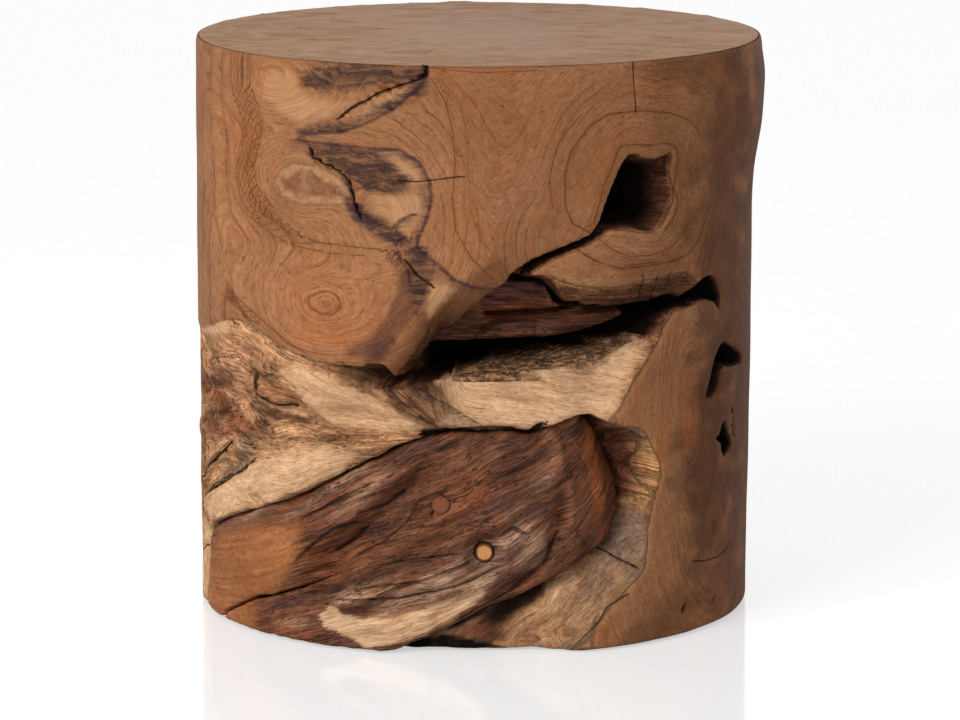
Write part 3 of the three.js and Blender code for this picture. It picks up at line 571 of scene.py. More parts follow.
def block_field(angle, height, radius):
    """Below zero inside the root block. All lengths in mm."""
    wall, natural = wall_maps(angle, height)
    cuts = grooves_field(BLOCK_GROOVES, angle, height) + knot_pits(angle, height)
    rim = blended_max(radius - wall, height - STOOL_HEIGHT, 3)
    body = blended_max(rim, FOOT_HEIGHT + foot_arch(angle) * ease((radius - 178) / 10) - height, 3)
    body = np.maximum(body, radius - natural + cuts)
    depth = wall - radius
    hollow = pocket(HOLLOW_MOUTH, HOLLOW_INSIDE, angle, height, depth, 55, 0.0, 2.2, 31)
    body = blended_max(body, -np.maximum(hollow, 82 - radius), 2.2)
    tear = pocket(TEAR, TEAR_INSIDE, angle, height, depth, 45, 0.0, 0.8, 32)
    body = blended_max(body, -np.maximum(tear, 118 - radius), 1.8)
    hole = pocket(UPPER_HOLE, UPPER_HOLE_INSIDE, angle, height, depth, 45, 0.0, 1.6, 33)
    body = blended_max(body, -np.maximum(hole, 98 - radius), 2.6)
    slit = pocket(SLIT, None, angle, height, depth, 1, 0.02)
    body = blended_max(body, -np.maximum(slit, 156 - radius), 1.6)
    scoop = pocket(SCOOP, SCOOP_INSIDE, angle, height, depth, 26)
    body = blended_max(body, -np.maximum(scoop, 150 - radius), 2.2)
    pit = pocket(KNOT_HOLE, None, angle, height, depth, 1, 0.08)
    body = blended_max(body, -np.maximum(pit, 158 - radius), 1.4)
    bowl_wall = 17 * (1 - np.sqrt(np.clip(1 - (depth / 54) ** 2, 0, 1)))
    bowl = pocket(BOWL, None, angle, height, depth, 1) + bowl_wall
    bowl = bowl + 1.5 * layered_noise(wall_places(angle, height, 30, 9, depth / 14), 2, seed=35) * ease(depth / 10)
    floor = 146 + 32 * ease((108 - height) / 30)
    body = blended_max(body, -np.maximum(bowl, floor - radius), 4)
    strand = np.maximum(near_path(STRAND_OUTLINE, angle, height, True, 20) - 0.5,
                        np.maximum(radius - 172, 70 - radius))
    body = np.maximum(body, -strand)
    seat = np.maximum(near_path(LIMB_OUTLINE, angle, height, True, 30) - 0.3, seat_floor(angle) - radius)
    return np.maximum(body, -seat)


def seat_floor(angle):
    """Radius of the flat sawn seat behind the limbs."""
    return np.minimum(96 / np.maximum(np.cos(np.radians(angle + 22)), 0.3), 146)


PEGS = {name: (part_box(name)[0] / MM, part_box(name)[1] / MM) for name in ("lower_peg", "upper_peg")}


def from_peg(name, angle, height, radius):
    """Distance in mm from a peg's axis."""
    low, high = PEGS[name]
    return np.hypot(radius * np.sin(np.radians(angle)) - (low.x + high.x) / 2, height - (low.z + high.z) / 2)


def limb_radius(angle, height):
    """Radius of the limbs' face: sanded flush at the left end, folded and weathered to the right."""
    share = height / TALL
    wall = DRUM_RADIUS - wall_setback(angle, height)
    flush = near_path(SANDED_END, angle, height, True, 60)
    weathered = ease(flush / 20) * ease((height - along_line(trail(-52, 34, -30, 8, -14, -6, 10, -6), angle)) / 24)
    under_top = 13 * ease((share - 100) / 46) * ease((angle + 46) / 24)
    ridge = along_line(LIMB_RIDGE, height, "angle")
    edge = np.maximum(along_line(TROUGH_INNER, height, "angle"), ridge + 1)
    side = mixed(13, 22, ease((share - 50) / 40))
    turned = 2 * side * ease((angle - ridge) / (edge - ridge) / 2)
    across, along = limb_grain(angle, height)
    fibre = layered_noise(np.stack([across / 8, along / 60, across * 0], -1), 3, seed=41) * 3.0
    folds = folds_field(LIMB_FOLDS, angle, height)
    relief = weathered * (9 - folds - fibre * ease((ridge + 3 - angle) / 4)) + under_top + turned
    relief = relief + grooves_field(LIMB_GROOVES, angle, height) * ease(flush / 6)
    face = wall - relief - 0.4
    for name, proud in (("lower_peg", 1.2), ("upper_peg", 0.4)):
        end = (-PEGS[name][0].y - proud) / np.cos(np.radians(angle))
        near = ease((17 - from_peg(name, angle, height, face)) / 9)
        face = mixed(face, end, near)
    return face


def limb_grain(angle, height):
    """Distances in mm across and along the limbs' twisted grain."""
    upper = along_line(trail(-90, 58, -70, 72, -50, 88, -30, 120, -15, 152, 0, 172, 30, 215), angle) - height
    lower = height - along_line(trail(-90, -40, -50, -30, -30, -14, -10, 2, 4, 24, 14, 44, 22, 64, 32, 100), angle)
    share = upper / np.maximum(upper + lower, 20)
    across = share * 120 + 3 * noise(wall_places(angle, height, 40, 40), seed=51)
    return across, angle * ARC * 0.86 + height * 0.5


def limb_field(angle, height, radius, above):
    """Below zero inside the limb above or below the crack."""
    face = radius - limb_radius(angle, height)
    outline = near_path(LIMB_OUTLINE, angle, height, True, 40)
    body = blended_max(face, outline + 0.3, mixed(9, 5, ease((angle - 16) / 10)))
    body = blended_max(body, FOOT_HEIGHT - height, 3)
    body = np.maximum(body, seat_floor(angle) + 0.6 - radius)
    crack = near_path(LIMB_CRACK, angle, height, False, 60)
    left = ease((-20 - angle) / 30)
    open_half = mixed(-0.8, 1.0, left) + 0.6 * noise(wall_places(angle, height, 8, 8), seed=61) * left
    beside = (crack if above else -crack) + open_half
    body = blended_max(body, beside, mixed(0.05, 2.6, ease((-14 - angle) / 20)))
    for name, room in (("lower_peg", 0.9), ("upper_peg", -0.4)):
        body = np.maximum(body, PEG_WIDTH / 2 + room - from_peg(name, angle, height, radius))
    return body


def strand_field(angle, height, radius):
    """The layered root strand in the hollow, with its cut shard below."""
    outline = near_path(STRAND_OUTLINE, angle, height, True, 30)
    shard = near_path(SHARD_OUTLINE, angle, height, True, 30)
    layers = layered_noise(wall_places(angle, height, 80, 5), 3, seed=71) * 2.6
    share = height / TALL
    bulge = 5 * np.sin(np.clip((share - 234) / 34, 0, 1) * math.pi)
    face = 158 + bulge + layers + 8 * ease(-shard / 5) + 5 * ease((angle - 14) / 3)
    face = face + 9 * ease((angle - 12) / 4) * ease((share - 238) / 6)
    slits = [([(4, 261), (9, 260.6), (15, 259)], 1.3, 14), (trail(2, 234.5, 9, 235, 16, 236, 24, 240), 1.1, 12),
             ([(-6, 224), (6, 226), (16, 225.5)], 0.5, 3), ([(-2, 248), (10, 246)], 0.6, 3)]
    face = face - grooves_field(slits, angle, height)
    body = blended_max(radius - face, outline + 0.3, 4)
    return np.maximum(body, 73 - radius)


def net_surface(values, axes, wraps):
    """Quads through the places where values change sign, on a grid whose first axis may wrap round."""
    sizes = values.shape
    cells = np.array([sizes[0] if wraps else sizes[0] - 1, sizes[1] - 1, sizes[2] - 1])
    count = np.zeros(cells.prod())
    total = np.zeros((3, cells.prod()))
    below = values < 0
    quads = []
    for axis in range(3):
        crossing = below != np.roll(below, -1, axis)
        if axis or not wraps:
            crossing[tuple(slice(-1, None) if i == axis else slice(None) for i in range(3))] = False
        index = np.argwhere(crossing)
        here = values[tuple(index.T)]
        beyond = index.copy()
        beyond[:, axis] = (beyond[:, axis] + 1) % sizes[axis]
        place = index.astype(float)
        place[:, axis] += here / (here - values[tuple(beyond.T)])
        others = [i for i in range(3) if i != axis]
        corners, valid = [], np.ones(len(index), bool)
        for step in ((0, 0), (-1, 0), (-1, -1), (0, -1)):
            cell, moved = index.copy(), place.copy()
            cell[:, others] += step
            if wraps:
                wrapped = cell[:, 0] < 0
                cell[wrapped, 0] += sizes[0]
                moved[wrapped, 0] += sizes[0]
            inside = ((cell >= 0) & (cell < cells)).all(1)
            flat = (cell[:, 0] * cells[1] + cell[:, 1]) * cells[2] + cell[:, 2]
            count += np.bincount(flat[inside], minlength=len(count))
            for i in range(3):
                total[i] += np.bincount(flat[inside], moved[inside, i], minlength=len(count))
            corners.append(flat)
            valid &= inside
        found = np.stack(corners, 1)[valid]
        flip = (here[valid] > 0) ^ (axis == 1)
        found[flip] = found[flip][:, ::-1]
        quads.append(found)
    quads = np.vstack(quads)
    used, quads = np.unique(quads, return_inverse=True)
    quads = quads.reshape(-1, 4)
    index = total[:, used] / count[used]
    turned = np.append(axes[0], axes[0][0] + 360) if wraps else axes[0]
    steps = (turned, axes[1], axes[2])
    places = np.stack([np.interp(index[i], np.arange(len(steps[i])), steps[i]) for i in range(3)], 1)
    return places, quads


def to_metres(places):
    """Rows of (angle, height, radius) in mm as x, y, z in metres."""
    turn = np.radians(places[:, 0])
    return np.stack([places[:, 2] * np.sin(turn), -places[:, 2] * np.cos(turn), places[:, 1]], 1) * MM


def new_piece(name, points, faces):
    """A mesh object at the origin, smooth shaded, from points in metres."""
    mesh = bpy.data.meshes.new(name)
    mesh.from_pydata(points.tolist(), [], [list(face) for face in faces])
    mesh.validate()
    mesh.polygons.foreach_set("use_smooth", [True] * len(mesh.polygons))
    mesh.update()
    piece = bpy.data.objects.new(name, mesh)
    bpy.context.scene.collection.objects.link(piece)
    return piece


def keep_values(piece, **kept):
    """Stores named values: one number for each vertex, or a colour where they have three columns."""
    for name, values in kept.items():
        values = np.asarray(values, np.float32)
        plain = values.ndim == 1
        layer = piece.data.attributes.new(name, "FLOAT" if plain else "FLOAT_COLOR", "POINT")
        if plain:
            layer.data.foreach_set("value", values)
        else:
            opaque = np.ones((len(values), 1), np.float32)
            layer.data.foreach_set("color", np.hstack([values, opaque]).ravel())


def roughen(points, faces, amount, across, along_axis, seed):
    """Moves points along their normals by noise, by an amount in mm for each point."""
    quads = points[faces]
    normals = np.cross(quads[:, 2] - quads[:, 0], quads[:, 3] - quads[:, 1])
    summed = np.zeros_like(points)
    for i in range(4):
        np.add.at(summed, faces[:, i], normals)
    summed /= np.maximum(np.linalg.norm(summed, axis=1, keepdims=True), 1e-12)
    cells = points / MM / across
    cells[:, along_axis] *= 0.35
    return points + summed * (layered_noise(cells, 2, seed) * amount)[:, None] * MM


# Tones of the wood, as linear colours worked out from the shades seen in daylight
def shade(red, green, blue):
    """A linear colour from display values of 0 to 255."""
    return np.array([(v / 255 / 12.92) if v < 10.3 else ((v / 255 + 0.055) / 1.055) ** 2.4
                     for v in (red, green, blue)])


TONES = {
    "wall": shade(158, 112, 77), "wall_warm": shade(176, 124, 84), "wall_dark": shade(112, 75, 49),
    # The right-hand wall's tone in this row is its darker wood together with painted shade of the side that faces
    # away from the key light.
    "wall_right_shaded": shade(96, 62, 42), "wall_pink": shade(150, 104, 73), "knot": shade(170, 117, 79),
    "orange": shade(180, 106, 58), "sap": shade(232, 190, 148), "sap_dull": shade(184, 138, 98),
    "grey": shade(152, 122, 98), "red_brown": shade(128, 76, 50), "purple": shade(84, 56, 52),
    "cut_peg": shade(214, 150, 92), "limb": shade(108, 68, 47), "limb_dark": shade(66, 42, 31),
    "limb_red": shade(130, 76, 46), "limb_pale": shade(178, 138, 110), "cut_face": shade(172, 110, 66),
    "inner": shade(98, 60, 43), "black": shade(18, 12, 10), "moss": shade(204, 152, 98), "top": shade(164, 123, 88),
    "bark": shade(152, 120, 98), "blue_grey": shade(138, 117, 101), "plum": shade(60, 42, 44),
    "peach": shade(208, 152, 112),
}

# Broad tones: name, centre angle and height, half width and half height in mm, tilt in degrees, strength
# The right-hand wall's marks, from 56° to 104°, darken that side: darker wood together with painted shade of the side
# that faces away from the key light.
BLOCK_TONES = [
    ("wall_pink", 0, 345, 70, 80, 0, 0.5), ("wall_dark", 60, 300, 50, 150, 0, 0.9),
    ("wall_right_shaded", 104, 200, 190, 420, 0, 0.62), ("wall_right_shaded", 77, 200, 62, 230, 0, 0.85),
    ("wall_right_shaded", 56, 120, 46, 120, 0, 0.9), ("wall_dark", 42, 330, 30, 60, 0, 0.5),
    ("knot", -32, 243, 66, 42, 0, 0.9), ("orange", -30, 222, 40, 14, 8, 0.3),
    ("wall_warm", -60, 300, 40, 110, 0, 0.8), ("wall_dark", 2, 268, 20, 10, 40, 0.9),
    ("wall_warm", -47, 345, 22, 40, 0, 0.5), ("orange", -52, 345, 7, 60, 4, 0.3),
    ("wall_dark", 44, 404, 50, 12, 0, 0.7), ("purple", -20, 214, 18, 9, 40, 0.95),
    ("wall_dark", 36, 8, 30, 12, 0, 0.7), ("red_brown", 60, 22, 40, 24, 0, 0.5),
    ("wall_right_shaded", 80, 380, 20, 60, 0, 0.5), ("wall_warm", -44, 398, 34, 14, 0, 0.6),
    ("orange", 48, 155, 12, 20, 10, 0.4), ("orange", 40, 150, 8, 26, 0, 0.3), ("wall_dark", 36, 268, 46, 9, 0, 0.5),
    ("wall_warm", 56, 48, 16, 10, 0, 0.2), ("red_brown", 24, 12, 26, 10, 20, 0.4),
    ("red_brown", -13, 252, 8, 18, -14, 0.4), ("wall_pink", 20, 395, 60, 16, 0, 0.5),
    ("wall_dark", 45, 20, 40, 20, 0, 0.6), ("wall_right_shaded", 64, 40, 30, 50, 0, 0.6),
    ("wall_pink", -34, 208, 22, 3, 12, 0.8), ("wall_dark", 10, 290, 30, 30, 40, 0.35),
]
FLANK_TONES = [
    ("sap_dull", -60, 120, 200, 140, 0, 1.0), ("red_brown", -72, 160, 60, 14, 0, 0.9),
    ("red_brown", -68, 138, 46, 8, 0, 0.8), ("peach", -57, 198, 40, 9, 0, 0.85), ("inner", -64, 178, 26, 6, 0, 0.75),
    ("peach", -63, 163, 24, 5, 0, 0.7), ("wall_pink", -49.5, 176, 20, 13, 0, 1.0),
    ("red_brown", -43, 172, 6, 8, 0, 0.6), ("purple", -84, 166, 22, 12, 0, 0.7), ("purple", -84, 190, 14, 6, 0, 0.5),
    ("grey", -58, 122, 46, 9, 58, 0.85), ("grey", -66, 104, 20, 9, 50, 0.7), ("orange", -76, 200, 20, 5, 0, 0.4),
    ("limb_dark", -45, 158, 50, 3.5, 0, 0.75), ("limb_dark", -20, 160, 30, 4, -8, 0.6),
    ("limb_dark", -70, 170, 30, 3, 4, 0.8), ("limb_dark", -66, 150, 34, 3, 10, 0.8),
    ("grey", -47, 86, 46, 5, 26, 0.5), ("inner", -20, 184, 34, 6, -50, 0.8), ("inner", -12, 168, 22, 5, -46, 0.8),
    ("sap_dull", -14, 184, 20, 4, -50, 0.7), ("purple", -4, 160, 16, 5, -30, 0.7),
    ("red_brown", -26, 150, 26, 5, 6, 0.6), ("red_brown", -84, 178, 16, 8, 0, 0.5),
    ("inner", -9, 232, 12, 30, 0, 0.95), ("red_brown", -9, 226, 6, 14, -30, 0.7),
    ("limb_dark", -10, 208, 12, 12, 0, 0.9), ("red_brown", 6, 162, 34, 6, 4, 0.6), ("grey", 20, 165, 24, 6, 8, 0.4),
    ("sap_dull", 33, 190, 5, 30, 0, 0.7), ("red_brown", 38, 214, 4, 14, 0, 0.7), ("grey", -80, 210, 30, 5, 0, 0.5),
    ("inner", 40, 226, 9, 10, 20, 0.9), ("wall_pink", 36.6, 197, 52, 7, 52, 0.9),
    ("red_brown", -58, 147, 36, 8, -4, 0.9), ("sap", -66, 76, 20, 12, 30, 0.8), ("sap", -62, 70, 26, 8, 30, 0.9),
    ("sap_dull", -9, 181, 17, 10, -40, 0.85), ("sap", 11, 164, 44, 6, 6, 0.8), ("sap_dull", 28, 163, 10, 8, 0, 0.8),
    ("wall_pink", -32, 158, 20, 7, -6, 0.5), ("wall_pink", -25, 192, 16, 5, 30, 0.7),
]
# The limb_dark and black marks from 2° to 7°, 9 mm to 30 mm high, are painted shadow under the lower limb's edge.
TROUGH_TONES = [
    ("sap_dull", 16, 24, 70, 26, 30, 0.9), ("grey", 24, 46, 30, 16, 40, 0.7), ("blue_grey", 32, 78, 14, 18, 0, 0.95),
    ("moss", 36, 122, 24, 26, 0, 1.0), ("red_brown", 2, 16, 26, 10, 20, 0.7), ("inner", 24, 58, 8, 20, -30, 0.6),
    ("limb_dark", 26, 150, 16, 8, 0, 0.6), ("sap_dull", 17, 40, 30, 9, 44, 0.8), ("limb_dark", 5, 27, 40, 8, 26, 1.0),
    ("black", 7, 29.5, 34, 4.5, 26, 0.8), ("red_brown", -3, 13, 20, 8, 20, 0.8), ("sap_dull", 24, 58, 34, 6, 48, 0.8),
    ("sap_dull", 30, 42, 16, 12, 40, 0.5), ("sap_dull", 14, 12, 20, 9, 0, 0.7), ("sap", 19, 44, 26, 8, 48, 0.6),
    ("limb_dark", 2, 9, 14, 6, 10, 0.7),
]
# Tones of the crown's underside above the main hollow: its dark wood, darker in part as painted shade under the
# crown.
CROWN_FOOT_TONES = [
    ("inner", 33, 244, 90, 13, 0, 0.95), ("limb_dark", 36, 241, 60, 5, 0, 0.8), ("grey", 20, 264, 8, 7, 0, 0.7),
    ("wall_dark", 46, 256, 12, 10, 0, 0.6),
]
LIMB_TONES = [
    ("limb_dark", -34, 52, 20, 6, 44, 0.5), ("limb_red", -36, 62, 14, 26, 10, 0.8),
    ("limb_dark", -24, 92, 28, 6, 52, 0.45), ("limb_red", -28, 76, 26, 8, 48, 0.6), ("grey", -56, 79, 46, 4, 22, 0.7),
    ("grey", -34, 108, 44, 5, 36, 0.6), ("red_brown", -30, 100, 46, 4, 36, 0.6),
    ("limb_red", -48, 12, 40, 9, -4, 0.9), ("limb_pale", -14, 38, 62, 10, 28, 0.85),
    ("limb_pale", 5, 70, 30, 7, 48, 0.6), ("grey", -6, 58, 40, 7, 36, 0.6), ("limb_dark", 10, 62, 36, 4, 42, 0.8),
    ("limb_red", 27, 118, 12, 50, 2, 0.95), ("limb_red", -2, 112, 36, 14, 40, 0.6),
    ("limb_dark", 4, 34, 40, 5, 34, 0.7), ("limb_dark", 8, 136, 24, 12, 24, 0.5),
    ("limb_dark", -30, 36, 34, 3, 16, 0.6), ("limb_dark", -8, 146, 20, 5, 10, 0.7),
    ("limb_dark", 24, 70, 10, 16, 0, 0.7), ("limb_pale", 9, 76, 16, 24, 30, 0.75),
    ("limb_pale", -3, 46, 38, 14, 40, 1.0), ("limb_pale", 2, 70, 30, 8, 46, 0.6), ("orange", 27, 118, 8, 34, 0, 0.45),
    ("limb_pale", -24, 42, 30, 7, 20, 0.7), ("limb_pale", -25, 112, 30, 6, 40, 0.5),
    ("grey", -52, 84, 26, 6, 34, 0.9), ("limb_pale", 12, 84, 16, 6, 40, 0.5), ("grey", 12, 118, 30, 5, 44, 0.35),
    ("limb_pale", -40, 14, 20, 5, 10, 0.4), ("sap", -2, 47, 24, 7, 40, 0.5),
]


def painted(base, marks, angle, height, seed):
    """A colour for each place: the base with each mark laid over it in turn, with wavering edges."""
    colour = np.broadcast_to(TONES[base], angle.shape + (3,)).copy()
    waver = 0.35 * layered_noise(wall_places(angle, height, 26, 18), 3, seed)
    for tone, centre, level, half_width, half_height, tilt, strength in marks:
        lean = math.radians(tilt)
        dx = round_from(centre, angle)
        dz = height - level * TALL
        u = (dx * math.cos(lean) + dz * math.sin(lean)) / half_width
        v = (dz * math.cos(lean) - dx * math.sin(lean)) / half_height
        cover = strength * ease((1.25 - np.hypot(u, v) + waver) / 0.9)
        colour = colour + (TONES[tone] - colour) * cover[..., None]
    return colour


def growth_field(angle, height):
    """A distance whose level lines run as the growth rings do on the sanded wall, in mm."""
    hole = near_path(UPPER_HOLE, angle, height, True, 400)
    total = np.exp(-np.maximum(hole, 0) / 13)
    for centre, level, half_width, half_height, spacing in KNOT_FIGURES:
        dx = round_from(centre, angle) / half_width
        dz = (height - level * TALL) / half_height
        total = total + np.exp(-(np.sqrt(dx * dx + dz * dz + 0.14) * spacing) / 13)
    trunk = np.abs(round_from(-96, angle)) * 0.8 + 18
    total = total + 0.2 * np.exp(-trunk / 40)
    field = -13 * np.log(total)
    field = field + 4 * noise(wall_places(angle, height, 60, 60), seed=81)
    return field + noise(wall_places(angle, height, 16, 30), seed=82)


def flank_grain(angle, height):
    """Distances across and along the fibres of the flank, ledge and trough, which fan out from the crease's end."""
    dx = (angle + 4) * ARC
    dz = height - 152 * TALL
    spread = np.hypot(dx, dz)
    turn = np.arctan2(dz, -dx)
    fan = turn * 90 + 4 * noise(wall_places(angle, height, 40, 30), seed=91)
    level = height + 0.12 * angle * ARC + 3 * noise(wall_places(angle, height, 50, 30), seed=92)
    to_ledge = ease((angle + 12) / 10)
    across, along = mixed(fan, level, to_ledge), mixed(spread, angle * ARC, to_ledge)
    lean = np.radians(mixed(40, 82, ease((height - 84) / 30)))
    in_trough = ease((trough_depth(angle, height) - 0.5) / 2)
    waver = 4 * noise(wall_places(angle, height, 30, 30), seed=93)
    steep = height * np.cos(lean) - angle * ARC * np.sin(lean) + waver
    rising = angle * ARC * np.cos(lean) + height * np.sin(lean)
    return mixed(across, steep, in_trough), mixed(along, rising, in_trough)


TINT_RANGE = (0.34, 0.66)


class Wiring:
    """Adds and joins nodes in one tree."""

    def __init__(self, tree):
        self.tree = tree

    def add(self, kind, *inputs, **settings):
        node = self.tree.nodes.new(kind)
        for name, value in settings.items():
            setattr(node, name, value)
        for i, value in enumerate(inputs):
            self.feed(node.inputs[i], value)
        return node

    def named(self, kind, inputs, **settings):
        """A node whose inputs are fed by their names or places."""
        node = self.add(kind, **settings)
        for name, value in inputs.items():
            self.feed(node.inputs[name], value)
        return node

    def feed(self, socket, value):
        if value is None:
            return
        if isinstance(value, bpy.types.NodeSocket):
            self.tree.links.new(value, socket)
        elif isinstance(value, (tuple, list, np.ndarray)) and len(value) == 3 and socket.type == "RGBA":
            socket.default_value = (*value, 1)
        else:
            socket.default_value = value

    def maths(self, operation, first, second=None, third=None, clamp=False):
        return self.add("ShaderNodeMath", first, second, third, operation=operation, use_clamp=clamp).outputs[0]

    def times(self, first, second):
        return self.maths("MULTIPLY", first, second)

    def over(self, first, second):
        return self.maths("DIVIDE", first, second)

    def plus(self, first, second, clamp=False):
        return self.maths("ADD", first, second, clamp=clamp)

    def minus(self, first, second):
        return self.maths("SUBTRACT", first, second)

    def blend(self, share, first, second, mode="MIX"):
        inputs = {0: share, 6: first, 7: second}
        return self.named("ShaderNodeMix", inputs, data_type="RGBA", blend_type=mode).outputs[2]

    def tinted(self, colour, *steps):
        """Multiplies a colour by tones that follow values, each (value, dark, light): redder where darker."""
        for value, dark, light in steps:
            share = self.add("ShaderNodeMapRange", value, *TINT_RANGE).outputs[0]
            amount = self.blend(share, (dark, dark * 0.95, dark * 0.9), (light, light * 1.01, light * 1.03))
            colour = self.blend(1.0, colour, amount, "MULTIPLY")
        return colour

    def spread(self, value, low, high, to_low=0.0, to_high=1.0):
        node = self.add("ShaderNodeMapRange", value, low, high, to_low, to_high, interpolation_type="SMOOTHSTEP")
        return node.outputs[0]

    def grain(self, vector, scale, detail=3.0, roughness=0.55):
        inputs = {"Vector": vector, "Scale": scale, "Detail": detail, "Roughness": roughness}
        return self.named("ShaderNodeTexNoise", inputs).outputs[0]

    def vector(self, x, y, z):
        return self.add("ShaderNodeCombineXYZ", x, y, z).outputs[0]

    def parts(self, vector):
        return self.add("ShaderNodeSeparateXYZ", vector).outputs

    def stretched(self, values, *scales):
        """A vector of three values, each times its scale."""
        pairs = zip(values, scales)
        return self.vector(*(value if scale == 1 else self.times(value, scale) for value, scale in pairs))

    def value_of(self, name):
        return self.add("ShaderNodeAttribute", attribute_name=name).outputs["Fac"]

    def colour_of(self, name):
        return self.add("ShaderNodeAttribute", attribute_name=name).outputs["Color"]

    def group(self, name, **inputs):
        node = self.add("ShaderNodeGroup", node_tree=shared_group(name))
        for label, value in inputs.items():
            self.feed(node.inputs[label.capitalize()], value)
        return node

    def mask(self, name, **inputs):
        return self.group(name, **inputs).outputs["Mask"]

    def marked(self, kept, noise, ragged, soft):
        """The ragged mark of a distance that the vertices keep."""
        return self.mask("Ragged mark", distance=self.value_of(kept), noise=noise, ragged=ragged, soft=soft)

    def lined(self, kept, noise, ragged, soft):
        """The thin line of a distance and a half width that the vertices keep."""
        line = self.colour_of(kept)
        return self.group("Thin line", line=line, noise=noise, ragged=ragged, soft=soft).outputs


def new_group(name, inputs, outputs):
    """An empty shader group. An input's default tells its kind: None is a vector and a tuple is a colour."""
    tree = bpy.data.node_groups.new(name, "ShaderNodeTree")
    for label, default in inputs.items():
        kind = "Vector" if default is None else "Color" if isinstance(default, tuple) else "Float"
        socket = tree.interface.new_socket(label, in_out="INPUT", socket_type="NodeSocket" + kind)
        if default is not None:
            socket.default_value = default
    for label in outputs:
        kind = "Color" if label == "Colour" else "Float"
        tree.interface.new_socket(label, in_out="OUTPUT", socket_type="NodeSocket" + kind)
    w = Wiring(tree)
    return tree, w, w.add("NodeGroupInput").outputs, w.add("NodeGroupOutput").inputs


def figure_group():
    """The wood's figure: broad bands, fine streaks and dotted pores, long in one direction of a grain vector."""
    tree, w, given, out = new_group("Wood figure", {
        "Grain": None, "Fineness": 1.0, "Dots": 0.64,
    }, ["Broad", "Fine", "Hair", "Pores", "Height"])
    parts = w.parts(given["Grain"])
    grain = (w.times(parts[0], given["Fineness"]), parts[1], parts[2])
    broad = w.grain(w.stretched(grain, 0.11, 0.5, 0.5), 1.0, 3.0, 0.6)
    fine = w.grain(w.stretched(grain, 0.55, 1, 1), 1.0, 3.0, 0.72)
    hair = w.grain(w.stretched(grain, 1.5, 3.0, 3.0), 1.0, 2.0, 0.6)
    dots = w.grain(w.stretched(grain, 1.3, 4.5, 4.5), 1.0, 1.0, 0.5)
    pores = w.spread(w.minus(dots, given["Dots"]), 0.0, 0.06)
    height = w.plus(w.times(broad, 0.5), w.times(fine, 0.5))
    height = w.minus(height, w.times(pores, 0.3))
    for label, value in (("Broad", broad), ("Fine", fine), ("Hair", hair), ("Pores", pores), ("Height", height)):
        w.feed(out[label], value)
    return tree


def edge_group():
    """Thin dark edges of the growth rings, each as strong as chance makes it, along level lines of a distance."""
    tree, w, given, out = new_group("Ring edges", {
        "Ring": 0.0, "Wander": 0.5, "Spacing": 7.0, "Thin": 0.12,
    }, ["Mask"])
    ring = w.plus(w.over(given["Ring"], given["Spacing"]), w.times(given["Wander"], 2.4))
    strength = w.add("ShaderNodeTexWhiteNoise", noise_dimensions="1D")
    w.feed(strength.inputs["W"], w.maths("FLOOR", ring))
    gap = w.maths("ABSOLUTE", w.minus(w.maths("FRACT", ring), 0.5))
    line = w.spread(w.over(gap, given["Thin"]), 1.0, 0.2)
    w.feed(out["Mask"], w.times(line, w.spread(strength.outputs[0], 0.35, 1.0)))
    return tree


def thin_group():
    """A thin crisp line, from the signed distance to it, the plain distance and its half width, all in mm."""
    tree, w, given, out = new_group("Thin line", {
        "Line": (9, 9, 0, 1), "Noise": 0.5, "Ragged": 0.3, "Soft": 0.7,
    }, ["Mask", "Side", "Distance"])
    parts = w.parts(given["Line"])
    gap = w.maths("MAXIMUM", w.maths("ABSOLUTE", parts[0]), w.minus(parts[1], 2.2))
    shift = w.times(w.minus(given["Noise"], 0.5), w.times(given["Ragged"], 4.0))
    edge = w.plus(w.minus(gap, parts[2]), shift)
    w.feed(out["Mask"], w.spread(w.over(edge, given["Soft"]), 0.5, -0.5))
    w.feed(out["Side"], parts[0])
    w.feed(out["Distance"], gap)
    return tree


def split_group():
    """Fine dark splits: thin level lines of a long noise, here and there."""
    tree, w, given, out = new_group("Fine splits", {
        "Grain": None, "Wide": 0.2, "Thin": 0.012, "Least": 0.5,
    }, ["Mask"])
    parts = w.parts(given["Grain"])
    place = w.stretched(parts, given["Wide"], 0.7, 0.7)
    level = w.grain(place, 1.0, 4.0, 0.62)
    near = w.maths("ABSOLUTE", w.minus(level, 0.5))
    patchy = w.grain(place, 0.6, 2.0, 0.5)
    line = w.spread(w.over(near, given["Thin"]), 1.0, 0.3)
    w.feed(out["Mask"], w.times(line, w.spread(w.minus(patchy, given["Least"]), 0.0, 0.06)))
    return tree


def mark_group():
    """A mark with a ragged natural edge, from a distance in mm that is below zero inside it."""
    tree, w, given, out = new_group("Ragged mark", {
        "Distance": 9.0, "Noise": 0.5, "Ragged": 2.0, "Soft": 1.0,
    }, ["Mask"])
    shift = w.times(w.minus(given["Noise"], 0.5), w.times(given["Ragged"], 4.0))
    edge = w.plus(given["Distance"], shift)
    w.feed(out["Mask"], w.spread(w.over(edge, given["Soft"]), 0.5, -0.5))
    return tree


def hollow_group():
    """Painted shade inside a hollow: darkening by a share that grows with depth."""
    tree, w, given, out = new_group("Hollow shade", {
        # The last input is the near-black colour of the painted shade.
        "Colour": (0.5, 0.5, 0.5, 1), "Gloom": 0.0, "Wander": 0.5, "Shade colour": (0.005, 0.003, 0.002, 1),
    }, ["Colour"])
    uneven = w.times(w.minus(given["Wander"], 0.5), w.spread(given["Gloom"], 0.0, 0.5, 0.0, 0.5))
    share = w.plus(given["Gloom"], uneven, clamp=True)
    w.feed(out["Colour"], w.blend(share, given["Colour"], given["Shade colour"]))
    return tree


